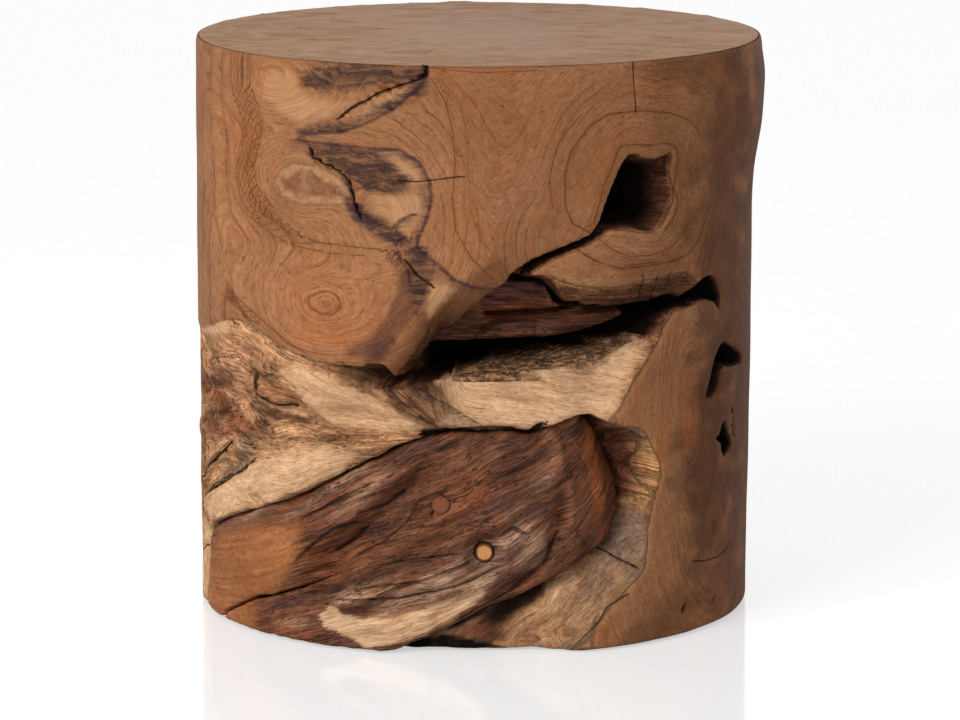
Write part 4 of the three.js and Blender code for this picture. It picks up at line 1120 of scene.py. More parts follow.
def finish(w, shader, colour, roughness, height, strength, distance):
    """Joins a colour, a roughness and a raised height to the shader."""
    bump = w.named("ShaderNodeBump", {"Strength": strength, "Distance": distance, "Height": height})
    for name, value in (("Base Color", colour), ("Roughness", roughness), ("Normal", bump.outputs[0])):
        w.feed(shader.inputs[name], value)


def new_material(name, shine=0.25):
    """A material with one plain Principled BSDF, and its wiring."""
    material = bpy.data.materials.new(name)
    material.use_nodes = True
    shader = material.node_tree.nodes["Principled BSDF"]
    shader.inputs["Specular IOR Level"].default_value = shine
    return material, Wiring(material.node_tree), shader


def place_of(w):
    return w.add("ShaderNodeTexCoord").outputs["Object"]


def block_material():
    """Sanded wall with growth rings, and the natural surfaces, seams and hollows."""
    material, w, shader = new_material("root_wood", 0.07)
    place = place_of(w)
    ragged = w.grain(place, 90.0, 5.0, 0.65)
    crust = w.grain(place, 260.0, 4.0, 0.7)
    sanded = w.marked("wild", ragged, 0.6, 1.2)
    parts = w.parts(place)
    sideways = w.plus(w.times(parts[0], 40.0), w.times(parts[1], 28.0))
    ring = w.value_of("ring")
    ring_grain = w.vector(ring, sideways, w.times(parts[2], 40.0))
    across, along = w.value_of("across"), w.value_of("along")
    fibre_grain = w.stretched((across, along, 4.0), 1, 0.034, 1)
    grain = w.named("ShaderNodeMix", {0: sanded, 4: fibre_grain, 5: ring_grain}, data_type="VECTOR")
    broad, fine, hair, pores, raised = w.group("Wood figure", grain=grain.outputs[1]).outputs

    wall = w.tinted(w.colour_of("tone"), (broad, 0.95, 1.05), (fine, 0.92, 1.07), (hair, 0.86, 1.12),
                    (crust, 0.88, 1.11), (w.grain(place, 14.0, 3.0, 0.5), 0.9, 1.1))
    close = w.mask("Ring edges", ring=ring, wander=w.times(ragged, 0.3), spacing=3.0, thin=0.2)
    close = w.times(close, w.spread(w.grain(place, 11.0, 2.0, 0.5), 0.4, 0.62, 0.25, 0.85))
    wall = w.blend(close, wall, w.blend(1.0, wall, (0.58, 0.46, 0.36), "MULTIPLY"))
    warmer = w.spread(w.grain(w.stretched((ring, parts[0], parts[2]), 0.05, 9.0, 9.0), 1.0, 3.0, 0.6), 0.5, 0.66)
    wall = w.blend(w.times(warmer, 0.2), wall, TONES["orange"] * 0.9)
    edges = w.mask("Ring edges", ring=ring, wander=broad)
    wall = w.blend(w.times(edges, 0.22), wall, TONES["red_brown"] * 0.6)
    wall = w.blend(w.times(pores, 0.4), wall, TONES["purple"] * 0.6)
    fleck_place = w.stretched(parts, 130.0, 130.0, 800.0)
    flecks = w.spread(w.grain(fleck_place, 1.0, 1.0, 0.5), 0.7, 0.76)
    wall = w.blend(w.times(flecks, 0.55), wall, TONES["red_brown"] * 0.3)
    growth = w.lined("line", ragged, 0.12, 0.7)
    wall = w.blend(w.times(growth["Mask"], w.spread(broad, 0.3, 0.55, 0.35, 0.8)), wall, TONES["red_brown"] * 0.28)
    near_line = w.times(w.spread(growth["Distance"], 5.0, 0.5), w.spread(fine, 0.46, 0.56))
    wall = w.blend(w.times(near_line, 0.4), wall, TONES["orange"] * 0.5)

    wild = w.tinted(w.colour_of("tone"), (broad, 0.55, 1.42), (fine, 0.5, 1.42), (hair, 0.72, 1.26),
                    (crust, 0.74, 1.22))
    even = w.tinted(w.colour_of("tone"), (broad, 0.84, 1.14), (hair, 0.84, 1.12), (crust, 0.78, 1.16),
                    (ragged, 0.84, 1.12))
    wild = w.blend(w.times(w.value_of("calm"), 0.8), wild, even)
    wild = w.blend(w.times(pores, w.spread(w.value_of("calm"), 0.0, 1.0, 0.7, 0.15)), wild, TONES["limb_dark"] * 0.45)
    streaky = w.plus(w.times(fine, 0.6), w.times(broad, 0.4))
    sap = w.marked("sap", streaky, 9.0, 5.0)
    cream = w.tinted(TONES["sap"], (broad, 0.84, 1.1), (fine, 0.78, 1.1), (hair, 0.86, 1.1), (crust, 0.88, 1.07))
    stain = w.grain(w.stretched((across, along, 2.0), 0.1, 0.012, 1), 1.0, 5.0, 0.65)
    cream = w.blend(w.spread(stain, 0.57, 0.7, 0.0, 0.6), cream, TONES["red_brown"] * 1.4)
    wild = w.blend(w.times(sap, 0.94), wild, cream)
    splits = w.mask("Fine splits", grain=fibre_grain, wide=0.16, thin=0.02, least=0.47)
    splits = w.times(splits, w.minus(1.0, w.times(sap, 0.85)))
    splits = w.times(splits, w.minus(1.0, w.value_of("calm")))
    wild = w.blend(w.times(splits, 0.7), wild, TONES["limb_dark"] * 0.35)

    colour = w.blend(sanded, wild, wall)
    pale = w.marked("pale", ragged, 1.6, 7.0)
    fresh = w.tinted(TONES["sap_dull"] * 1.12, (fine, 0.8, 1.16))
    colour = w.blend(w.times(pale, 0.7), colour, fresh)
    bark_gap = w.value_of("bark")
    bark = w.marked("bark", ragged, 0.9, 1.6)
    crust_colour = w.tinted(TONES["sap_dull"] * 0.95, (crust, 0.72, 1.12))
    mottle = w.grain(place, 55.0, 5.0, 0.7)
    core_share = w.times(w.spread(w.plus(bark_gap, w.times(mottle, 22.0)), 7.0, 3.0),
                         w.spread(mottle, 0.4, 0.52, 0.5, 1.0))
    crust_colour = w.blend(w.times(core_share, 0.9), crust_colour, w.tinted(TONES["limb"] * 1.25, (crust, 0.6, 1.4)))
    colour = w.blend(w.times(bark, 0.8), colour, crust_colour)
    outline = w.spread(w.maths("ABSOLUTE", w.plus(bark_gap, w.maths("MULTIPLY_ADD", ragged, 8.0, -3.2))), 1.2, 0.2)
    colour = w.blend(w.times(outline, 0.5), colour, TONES["limb"] * 0.7)

    bend = w.times(w.grain(place, 30.0, 3.0, 0.5), 4.0)
    streak_place = w.vector(w.maths("MULTIPLY_ADD", parts[0], 24.0, bend), w.times(parts[1], 24.0),
                            w.maths("MULTIPLY_ADD", parts[2], 190.0, bend))
    streaks = w.grain(streak_place, 1.0, 5.0, 0.72)
    zone = w.marked("stain", streaks, 3.6, 8.0)
    zone_colour = w.blend(w.spread(streaks, 0.44, 0.66), TONES["plum"] * 0.75, TONES["wall_pink"] * 0.7)
    zone_colour = w.tinted(zone_colour, (crust, 0.7, 1.25))
    colour = w.blend(w.times(zone, 0.9), colour, zone_colour)
    seam = w.lined("seam", streaks, 0.9, 2.2)
    near_seam = w.spread(w.plus(seam["Distance"], w.times(ragged, 6.0)), 13.0, 4.0)
    band = w.times(w.spread(seam["Side"], -2.0, 0.0), near_seam)
    colour = w.blend(w.times(band, w.spread(streaks, 0.35, 0.6, 0.7, 0.2)), colour, TONES["plum"] * 1.25)
    colour = w.blend(w.times(seam["Mask"], w.spread(ragged, 0.35, 0.6, 0.85, 0.35)), colour, TONES["plum"] * 0.55)
    rough = w.marked("torn", ragged, 2.4, 5.0)
    speckle = w.spread(w.grain(w.stretched(parts, 0.6, 1, 1), 240.0, 6.0, 0.8), 0.44, 0.62)
    torn_colour = w.tinted(w.blend(speckle, TONES["limb_dark"] * 0.6, TONES["sap_dull"] * 1.1), (crust, 0.7, 1.3))
    colour = w.blend(w.times(rough, 0.92), colour, torn_colour)
    checks = w.lined("check", ragged, 0.25, 0.8)["Mask"]
    colour = w.blend(w.times(checks, w.spread(ragged, 0.3, 0.5, 0.55, 0.9)), colour, TONES["black"] * 1.6)
    # Painted shade in the hollows: the colour darkens by the gloom that the vertices keep.
    hollow = w.group("Hollow shade", colour=colour, gloom=w.value_of("gloom"), wander=ragged)

    roughness = w.add("ShaderNodeMapRange", sanded, 0.0, 1.0, 0.8, 0.55).outputs[0]
    crusty = w.plus(w.times(bark, 0.3), w.times(rough, 1.2))
    wild_height = w.plus(raised, w.times(crust, w.plus(crusty, 0.25)))
    wild_height = w.plus(wild_height, w.times(ragged, 0.3))
    sanded_height = w.times(raised, 0.12)
    height = w.named("ShaderNodeMix", {0: sanded, 2: wild_height, 3: sanded_height}, data_type="FLOAT")
    height = w.minus(height.outputs[0], w.times(seam["Mask"], 0.25))
    height = w.plus(height, w.times(w.times(zone, streaks), 0.35))
    height = w.minus(height, w.times(checks, 0.7))
    finish(w, shader, hollow.outputs["Colour"], roughness, height, 0.85, 0.0028)
    return material


def limb_material(name, fineness):
    """Weathered root: long twisted streaks, with cream sapwood where the edge was split."""
    material, w, shader = new_material(name, 0.14)
    place = place_of(w)
    ragged = w.grain(place, 90.0, 5.0, 0.65)
    crust = w.grain(place, 260.0, 4.0, 0.7)
    across, along = w.value_of("across"), w.value_of("along")
    grain = w.stretched((across, along, 0.0), 1, 0.03, 1)
    broad, fine, hair, pores, raised = w.group("Wood figure", grain=grain, fineness=fineness).outputs
    slanted = w.grain(w.stretched((across, along, 1.0), 0.3, 0.012, 1), 1.0, 4.0, 0.6)
    cut = w.marked("flush", slanted, 9.0, 15.0)
    colour = w.colour_of("tone")
    streaked = w.tinted(colour, (broad, 0.46, 1.55), (fine, 0.42, 1.56), (hair, 0.7, 1.3), (crust, 0.84, 1.14))
    reds = w.grain(w.stretched((across, along, 5.0), 0.09, 0.01, 1), 1.0, 3.0, 0.5)
    streaked = w.blend(w.spread(reds, 0.52, 0.66, 0.0, 0.5), streaked, w.tinted(TONES["limb_red"], (fine, 0.5, 1.4)))
    streaked = w.blend(w.spread(reds, 0.46, 0.34, 0.0, 0.45), streaked, w.tinted(TONES["purple"], (fine, 0.5, 1.6)))
    streaked = w.blend(w.times(pores, 0.75), streaked, TONES["limb_dark"] * 0.3)
    splits = w.mask("Fine splits", grain=grain, wide=0.14, thin=0.02, least=0.49)
    streaked = w.blend(w.times(splits, 0.75), streaked, TONES["limb_dark"] * 0.25)
    end_grain = w.grain(place, 260.0, 4.0, 0.6)
    flat = w.tinted(TONES["cut_face"] * 0.8, (end_grain, 0.84, 1.16), (slanted, 0.74, 1.2), (hair, 0.86, 1.14),
                    (w.grain(place, 22.0, 3.0, 0.5), 0.76, 1.22))
    colour = w.blend(cut, streaked, flat)
    sap = w.marked("sap", fine, 3.0, 2.4)
    cream = w.tinted(TONES["sap"], (broad, 0.7, 1.12), (fine, 0.66, 1.16), (hair, 0.8, 1.14))
    colour = w.blend(sap, colour, cream)
    checks = w.lined("check", ragged, 0.3, 1.2)["Mask"]
    colour = w.blend(w.times(checks, 0.7), colour, TONES["black"] * 1.5)
    # Painted shade in deep places: the colour darkens by the gloom that the vertices keep.
    hollow = w.group("Hollow shade", colour=colour, gloom=w.value_of("gloom"), wander=ragged)
    folded, flat_height = w.plus(raised, w.times(crust, 0.2)), w.times(end_grain, 0.12)
    height = w.named("ShaderNodeMix", {0: cut, 2: folded, 3: flat_height}, data_type="FLOAT")
    height = w.minus(height.outputs[0], w.times(checks, 0.5))
    finish(w, shader, hollow.outputs["Colour"], 0.62, height, 0.9, 0.0028)
    return material


def top_material():
    """The sanded top: close growth rings seen as fine streaks, and small checks."""
    material, w, shader = new_material("top_wood", 0.08)
    place = place_of(w)
    parts = w.parts(place)
    bent = w.grain(place, 7.0, 3.0)
    fields = []
    for x, y, stretch in ((0.125, 0.040, 1.6), (-0.075, 0.030, 2.6), (0.02, -0.12, 3.4)):
        dx = w.over(w.minus(parts[0], x), stretch)
        dy = w.minus(parts[1], y)
        fields.append(w.maths("SQRT", w.plus(w.times(dx, dx), w.times(dy, dy))))
    ring = w.maths("SMOOTH_MIN", fields[0], fields[1], 0.04)
    ring = w.maths("SMOOTH_MIN", ring, fields[2], 0.04)
    ring = w.plus(w.times(ring, 1000.0), w.times(bent, 26.0))
    grain = w.stretched((ring, parts[0], parts[1]), 1, 16.0, 16.0)
    broad, fine, _, pores, raised = w.group("Wood figure", grain=grain).outputs
    colour = w.tinted(TONES["top"], (broad, 0.93, 1.06), (fine, 0.9, 1.09), (w.grain(place, 5.0, 2.0), 0.94, 1.06))
    colour = w.blend(w.times(pores, 0.5), colour, TONES["purple"] * 0.6)
    finish(w, shader, colour, 0.45, raised, 0.12, 0.0005)
    return material


def peg_material(name, tone, rim_shade):
    """End grain of a dowel: dotted pores and a darker rim, painted shade of a rounded edge with some wear."""
    material, w, shader = new_material(name)
    place = place_of(w)
    speck = w.grain(place, 900.0, 3.0, 0.6)
    colour = w.tinted(tone, (speck, 0.72, 1.2))
    # Painted shade: the rim darkens towards the edge, with some wear.
    rim = w.spread(w.plus(w.value_of("from_middle"), w.times(w.grain(place, 300.0, 2.0), 0.2)), 0.78, 0.98)
    colour = w.blend(w.times(rim, rim_shade), colour, TONES["limb_dark"] * 0.35)
    finish(w, shader, colour, 0.6, speck, 0.4, 0.0004)
    return material


def felt_material():
    """Pressed felt: short tangled hairs."""
    material, w, shader = new_material("pressed_felt")
    hairs = w.grain(place_of(w), 1400.0, 4.0, 0.7)
    colour = w.tinted((0.07, 0.045, 0.03), (hairs, 0.6, 1.5))
    finish(w, shader, colour, 0.95, hairs, 0.6, 0.0006)
    return material


def shared_group(name):
    """One of the shader groups that the woods share, made when it is first used."""
    makers = {
        "Wood figure": figure_group, "Ring edges": edge_group, "Thin line": thin_group,
        "Fine splits": split_group, "Ragged mark": mark_group, "Hollow shade": hollow_group,
    }
    return bpy.data.node_groups.get(name) or makers[name]()


def spaced(start, end, step):
    return np.linspace(start, end, int(round(abs(end - start) / step)) + 1)


def graded(*parts):
    """Grid lines through parts that each have a start, an end and a step of their own."""
    lines = [spaced(*part) for part in parts]
    return np.concatenate([lines[0]] + [line[1:] for line in lines[1:]])


def block_axes(fineness):
    """Grid lines: fine across the carved front and near the wall, coarse round the back and deep inside."""
    angles = graded((-140, -92, 2.1 * fineness / ARC), (-92, 76, 1.13 * fineness / ARC),
                    (76, 220, 4.6 * fineness / ARC))[:-1]
    heights = graded((FOOT_HEIGHT - 2.2, 262 * TALL, 1.1 * fineness),
                     (262 * TALL, STOOL_HEIGHT + 2.3, 1.45 * fineness))
    radii = graded((66, 158, 3.2 * fineness), (158, DRUM_RADIUS + 3, fineness))
    return angles, heights, radii


def close_middle(places, quads):
    """Closes the top and foot, which the grid leaves open near the axis, with rings of faces down to a point."""
    edges = np.sort(np.stack([quads, np.roll(quads, -1, 1)], -1).reshape(-1, 2), axis=1)
    pairs, counts = np.unique(edges, axis=0, return_counts=True)
    open_points = np.unique(pairs[counts == 1])
    points, faces = [places], []
    total = len(places)
    for upper in (False, True):
        ring = open_points[(places[open_points, 1] > STOOL_HEIGHT / 2) == upper]
        ring = ring[np.argsort(places[ring, 0])]
        level = places[ring, 1].mean()
        inner = ring
        for radius in MIDDLE_RINGS:
            fresh = np.arange(len(ring)) + total
            total += len(ring)
            points.append(places[ring] * (1, 0, 0) + (0, level, radius))
            strip = np.stack([inner, np.roll(inner, -1), np.roll(fresh, -1), fresh], 1)
            faces.append(strip if upper else strip[:, ::-1])
            inner = fresh
        centre = total
        total += 1
        points.append(np.array([[0.0, level, 0.0]]))
        fan = np.stack([inner, np.roll(inner, -1), np.full(len(inner), centre)], 1)
        faces.append(fan if upper else fan[:, ::-1])
    return np.vstack(points), faces


def carve_block(fineness):
    """The root block's places on the wall in mm, with the points that close its top and foot, its quads and the faces
    that close it.
    """
    axes = block_axes(fineness)
    places, quads = net_surface(block_field(*np.ix_(*axes)), axes, True)
    whole, extra = close_middle(places, quads)
    return whole, quads, extra


def block_values(piece, places):
    """Stores what the block's material reads at each vertex."""
    angle, height = (places[:, 0] + 180) % 360 - 180, places[:, 1]
    wall, natural = wall_maps(angle, height)
    deep = wall - places[:, 2]
    carved = wall - natural
    across, along = flank_grain(angle, height)
    share = height / TALL
    tone = painted("wall", BLOCK_TONES, angle, height, 101)
    in_knot = ease(-near_path(KNOT_SHADE, angle, height, True, 12) / 6 + 0.3)
    tone = mixed(tone, shade(104, 68, 54), 0.72 * in_knot[:, None])
    wild = painted("sap_dull", FLANK_TONES, angle, height, 103)
    under_lip = np.clip(0.6 * (along_line(CROWN_LIP, angle) - height), 0, 5) * ease((10 - angle) / 8)
    in_channel = -near_path(FUNNEL, angle, height, True, 30)
    channel = ease(in_channel / 2.5) * ease((funnel_depth(angle, height) - flank_depth(angle, height) + 3) / 4)
    flank = ease(np.maximum(carved, under_lip) / 3) * ease((50 - angle) / 10)
    tone = mixed(tone, wild, flank[:, None])
    bowl = ease(-near_path(BOWL, angle, height, True, 10) / 2 + 1) * ease((deep - 1) / 3)
    trough = np.maximum(ease((trough_depth(angle, height) - 0.3) / 1.2), bowl)
    trough_tone = painted("grey", TROUGH_TONES, angle, height, 105)
    # Painted shade in the bowl: its tone darkens with depth to inner, then to limb_dark.
    bowl_shade = bowl[:, None] * np.where(height < 96, ease((height - 84) / 12), 1)[:, None]
    trough_tone = mixed(trough_tone, TONES["inner"] * 1.5, bowl_shade * ease((deep - 9) / 26)[:, None])
    trough_tone = mixed(trough_tone, TONES["limb_dark"] * 1.1, bowl_shade * ease((deep - 40) / 18)[:, None])
    tone = mixed(tone, trough_tone, trough[:, None])
    torn = np.maximum(np.maximum(19 - deep, np.abs(angle - 15) * ARC - 74),
                      np.where(share > 190, 0, 30) + np.where(share > 232, 30, 0) - 6)
    # Painted shade where the wall turns in beside the funnel.
    turning_shade = ease((in_channel + 18) / 18) * ease((4 - angle) / 4) * ease((268 * TALL - height) / 14)
    tone = mixed(tone, TONES["wall_dark"] * 0.72, turning_shade[:, None])
    # Painted shade down the funnel's channel: darker with its depth and towards its middle.
    channel_shade_tone = mixed(TONES["wall_dark"], TONES["inner"] * 0.6,
                         ease((funnel_depth(angle, height) - 5) / 26)[:, None])
    tone = mixed(tone, channel_shade_tone * mixed(1.05, 0.6, ease(in_channel / 26))[:, None], channel[:, None])
    # The crown's underside takes those tones: its dark wood, darker in part as painted shade under the crown.
    crown_foot = ease((crown_foot_depth(angle, height) - 0.4) / 3)
    tone = mixed(tone, painted("wall_dark", CROWN_FOOT_TONES, angle, height, 107), crown_foot[:, None])
    # Painted shade: gloom darkens places inside the hollows by their depth, the floor of the main hollow, the shadow
    # under the foot's arch and the funnel's channel.
    hidden = deep - np.where(share < 175, np.maximum(carved, 44 * bowl), carved)
    small = ease((angle - 45) / 3) * np.where(share < 262, 1, 0)
    upper = ease((angle - 18) / 3) * np.where(share > 275, 1, 0)
    inside = mixed(ease((hidden - 5) / 42), ease(hidden / 4.5), small)
    inside = mixed(inside, ease((hidden - 1) / 28), upper)
    floor = np.where((share > 192) & (angle < 46), ease((deep - 64) / 40), 0)
    under_arch = ease((foot_arch(angle) + 1 - height) / 2) * ease((deep - 9) / 4) * (height > FOOT_HEIGHT + 0.5)
    floor = np.where((share > 217) & (share < 246) & (angle > 34) & (angle < 47), 0.95 * ease((deep - 5) / 12), floor)
    gloom = np.maximum(np.maximum(inside, np.maximum(floor, under_arch)),
                       0.85 * channel * ease((funnel_depth(angle, height) - 16) / 34))
    tone = mixed(tone, TONES["inner"], ease((hidden - 2) / 5)[:, None] * (1 - 0.5 * small)[:, None])
    keep_values(
        piece,
        tone=tone,
        ring=growth_field(angle, height),
        across=across,
        along=mixed(along, deep * 2, ease(hidden / 4)),
        gloom=gloom,
        wild=mixed(np.maximum(np.maximum(carved, deep), under_lip) - 1.6, -6, channel * ease((54 - deep) / 8)),
        calm=0.75 * ease((trough_depth(angle, height) - 0.3) / 1.2) * ease((104 - height) / 16),
        sap=mixed(nearest_of(SAPWOOD, angle, height, True), 30, channel),
        pale=nearest_of(PALE_PATCHES, angle, height, True),
        bark=nearest_of(BARK_PATCHES, angle, height, True),
        stain=nearest_of(PURPLE_ZONES, angle, height, True),
        seam=nearest_line(BARK_SEAMS, angle, height),
        line=nearest_line([(path, 1.4 * half) for path, half in GROWTH_LINES], angle, height),
        torn=torn,
        check=nearest_line([(path, half) for path, half, _ in BLOCK_GROOVES], angle, height),
    )


def as_slots(piece, *materials):
    for material in materials:
        piece.data.materials.append(material)


def settle(piece, slot, *nodes):
    """Fixes a finished piece to the frame, in place of its CAD nodes if it stands for any."""
    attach(piece, "root")
    if nodes:
        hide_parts(*nodes)


class RootStoolShape(bpy.types.PropertyGroup):
    fineness: FloatProperty(name="Fineness", description="Size of the carved surface's faces, in mm", default=2.25,
                            min=1.5, max=8)
    limb_fineness: FloatProperty(name="Limb fineness", description="Size of the limbs' faces, in mm", default=2.0,
                                 min=1.2, max=8)
    splinters: IntProperty(name="Splinters", description="Torn fibres on the rough floor of the hollow", default=260,
                           min=0)
    splinter_seed: IntProperty(name="Splinter seed", description="Seed that scatters the torn fibres", default=7)


class RootStoolStage(bpy.types.PropertyGroup):
    camera_distance: FloatProperty(name="Camera distance", description="From the drum's axis", default=3.57,
                                   unit="LENGTH")
    camera_rise: FloatProperty(name="Camera rise", description="Angle over the stool's top edge",
                               default=math.radians(6.6), subtype="ANGLE")
    camera_pitch: FloatProperty(name="Camera pitch", description="How far the camera looks down",
                                default=math.radians(10.35), subtype="ANGLE")
    lens: FloatProperty(name="Lens", description="Focal length in mm", default=187.5)
    key_power: FloatProperty(name="Key light", description="Power of the soft light from the front left, in watts",
                             default=62.0)
    fill_power: FloatProperty(name="Fill light", description="Power of the low light from the right, in watts",
                              default=3.0)
    sky: FloatProperty(name="Sky", description="Strength of the plain white surroundings on the object", default=0.42)
    floor_colour: FloatVectorProperty(name="Floor", description="Colour of the floor", default=(0.9, 0.9, 0.9),
                                      subtype="COLOR")


class STOOL_OT_root_block(bpy.types.Operator):
    """Carves the root block with its hollows, flank, ledge and trough"""

    bl_idname = "stool.root_block"
    bl_label = "Carve root block"

    def execute(self, context):
        fineness = context.scene.root_stool.fineness * 1.0
        places, quads, extra = carve_block(fineness)
        points = to_metres(places)
        wall, _ = wall_maps(places[:, 0], places[:, 1])
        wild = ease((wall - places[:, 2] - 2) / 4) * ease((places[:, 2] - 60) / 20)
        points = roughen(points, quads, 1.5 * wild, 10, 0, 11)
        faces = [face for group in [quads, *extra] for face in group.tolist()]
        piece = new_piece("carved_root", points, faces)
        block_values(piece, places)
        as_slots(piece, block_material(), top_material())
        level = STOOL_HEIGHT - 0.6
        high = places[:, 1] > level
        top = [all(high[i] for i in face) for face in faces]
        piece.data.polygons.foreach_set("material_index", [int(t) for t in top])
        settle(piece, "sanded_teak", "root_block")
        return {"FINISHED"}


def carve_limb(name, above, fineness):
    """One limb's object, cut from the limbs' outline on its side of the crack."""
    axes = (spaced(-76, 39, fineness / ARC), spaced(FOOT_HEIGHT - 2.2, 175, fineness),
            spaced(90, DRUM_RADIUS + 3, fineness))
    values = limb_field(*np.ix_(*axes), above)
    values[[0, -1]] = 5
    values[:, [0, -1]] = 5
    values[:, :, [0, -1]] = 5
    places, quads = net_surface(values, axes, False)
    points = roughen(to_metres(places), quads, np.full(len(places), 0.6), 7, 0, 13)
    piece = new_piece(name, points, quads)
    angle, height, radius = places.T
    across, along = limb_grain(angle, height)
    flush = near_path(SANDED_END, angle, height, True, 60)
    keep_values(
        piece,
        tone=painted("limb", LIMB_TONES, angle, height, 111),
        across=across,
        along=along,
        flush=flush,
        sap=nearest_of(LIMB_SAPWOOD, angle, height, True),
        check=nearest_line([(path, half) for path, half, _ in LIMB_GROOVES], angle, height),
        # gloom: painted shade that grows with depth below the limbs' face.
        gloom=ease((limb_radius(angle, height) - radius - 24) / 40),
    )
    return piece


class STOOL_OT_limbs(bpy.types.Operator):
    """Carves the two loose limbs on either side of the crack"""

    bl_idname = "stool.limbs"
    bl_label = "Carve limbs"

    def execute(self, context):
        fineness = context.scene.root_stool.limb_fineness * 1.0
        material = limb_material("weathered_root", 1.0)
        for name, node, above in (("carved_upper_limb", "upper_limb", True),
                                  ("carved_lower_limb", "lower_limb", False)):
            piece = carve_limb(name, above, fineness)
            as_slots(piece, material)
            settle(piece, "weathered_teak", node)
        return {"FINISHED"}


class STOOL_OT_strand(bpy.types.Operator):
    """Carves the layered root strand that crosses the main hollow"""

    bl_idname = "stool.strand"
    bl_label = "Carve strand"

    def execute(self, context):
        fineness = context.scene.root_stool.limb_fineness * 1.0 * 0.8
        axes = (spaced(-15, 39, fineness / ARC), spaced(209, 275, fineness), spaced(70, 180, fineness))
        places, quads = net_surface(strand_field(*np.ix_(*axes)), axes, False)
        points = roughen(to_metres(places), quads, np.full(len(places), 0.4), 5, 0, 17)
        piece = new_piece("carved_strand", points, quads)
        angle, height, radius = places.T
        marks = [("purple", 6, 250, 44, 12, 0, 0.9), ("inner", 12, 266, 30, 6, 0, 0.8),
                 ("red_brown", 4, 236, 60, 8, 4, 0.7),
                 ("grey", 26, 240, 12, 5, 8, 0.8), ("limb_dark", -8, 240, 20, 20, 0, 0.7)]
        keep_values(
            piece,
            tone=painted("inner", marks, angle, height, 121),
            across=height + 0.04 * angle * ARC,
            along=angle * ARC,
            flush=np.full(len(places), 40.0),
            sap=np.full(len(places), 40.0),
            check=np.full((len(places), 3), (14.0, 14.0, 0.0)),
            # gloom: painted shade, darker the deeper the strand lies in the hollow.
            gloom=ease((150 - radius) / 40),
        )
        as_slots(piece, limb_material("inner_root", 1.3))
        settle(piece, "weathered_teak", "hollow_strand")
        return {"FINISHED"}


def peg_piece(name, node, rise, worn):
    """A dowel as long as its CAD node, with a slightly domed and chipped end."""
    low, high = [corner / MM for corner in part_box(node)]
    middle = (low + high) / 2
    turn = np.linspace(0, math.tau, PEG_SIDES, endpoint=False)
    chip = 1 + worn * 0.05 * noise(np.stack([np.cos(turn) * 2, np.sin(turn) * 2, turn * 0], -1), seed=5)
    ring = np.stack([np.cos(turn), turn * 0, np.sin(turn)], 1) * (PEG_WIDTH / 2 * chip)[:, None]
    dome = trail(0.35, 1.0, 0.7, 0.98, 0.9, 0.9, 1.0, 0.55)
    levels = [(out, low.y - rise * lift) for out, lift in dome] + [(1.0, high.y)]
    points = [ring * out + (middle.x, level, middle.z) for out, level in levels]
    points += [[(middle.x, low.y - rise, middle.z)], [(middle.x, high.y, middle.z)]]
    share = [out for out, _ in levels for _ in turn] + [0.0, 0.0]
    total = len(levels) * PEG_SIDES
    last = total - PEG_SIDES
    steps = [(i, (i + 1) % PEG_SIDES) for i in range(PEG_SIDES)]
    faces = [(total, i, j) for i, j in steps]
    for start in range(0, last, PEG_SIDES):
        faces += [(start + i, start + PEG_SIDES + i, start + PEG_SIDES + j, start + j) for i, j in steps]
    faces += [(total + 1, last + j, last + i) for i, j in steps]
    piece = new_piece(name, np.vstack(points) * MM, faces)
    keep_values(piece, from_middle=np.array(share))
    return piece


class STOOL_OT_pegs(bpy.types.Operator):
    """Turns the two pegs that hold the limbs"""

    bl_idname = "stool.pegs"
    bl_label = "Turn pegs"

    def execute(self, context):
        # For each peg: its name, node, rise of its end, tone and the strength of its rim's painted shade.
        pegs = (("lower_dowel", "lower_peg", 0.6, "cut_peg", 0.85),
                ("upper_dowel", "upper_peg", 0.2, "limb_red", 0.3))
        for name, node, rise, tone, rim_shade in pegs:
            piece = peg_piece(name, node, rise, 1.0 if tone == "limb_red" else 0.3)
            as_slots(piece, peg_material(name + "_wood", TONES[tone], rim_shade))
            settle(piece, "peg_teak", node)
        return {"FINISHED"}


def growing_tree(name, **kinds):
    """A geometry node tree with a named input of each kind, a material and one output of grown pieces."""
    tree = bpy.data.node_groups.new(name, "GeometryNodeTree")
    for label, kind in (kinds | {"Material": "Material"}).items():
        tree.interface.new_socket(label, in_out="INPUT", socket_type="NodeSocket" + kind)
    tree.interface.new_socket("Pieces", in_out="OUTPUT", socket_type="NodeSocketGeometry")
    w = Wiring(tree)
    return tree, w, w.add("NodeGroupInput").outputs


def place_pieces(w, given, **inputs):
    """Ends a tree: copies one shape to each point, makes the copies real and gives them the material."""
    placed = w.named("GeometryNodeInstanceOnPoints", inputs)
    real = w.add("GeometryNodeRealizeInstances", placed.outputs[0])
    ends = {"Geometry": real.outputs[0], "Material": given["Material"]}
    coloured = w.named("GeometryNodeSetMaterial", ends)
    w.add("NodeGroupOutput", coloured.outputs[0])


def pad_tree():
    """Geometry nodes: a felt disc with a soft rim at each point of a given mesh."""
    tree, w, given = growing_tree("Felt pads", Places="Geometry", Width="Float", Thickness="Float")
    disc = w.named("GeometryNodeMeshCylinder", {
        "Vertices": 48, "Fill Segments": 3, "Radius": w.over(given["Width"], 2.0), "Depth": given["Thickness"],
    })
    place_pieces(w, given, Points=given["Places"], Instance=disc.outputs["Mesh"])
    return tree


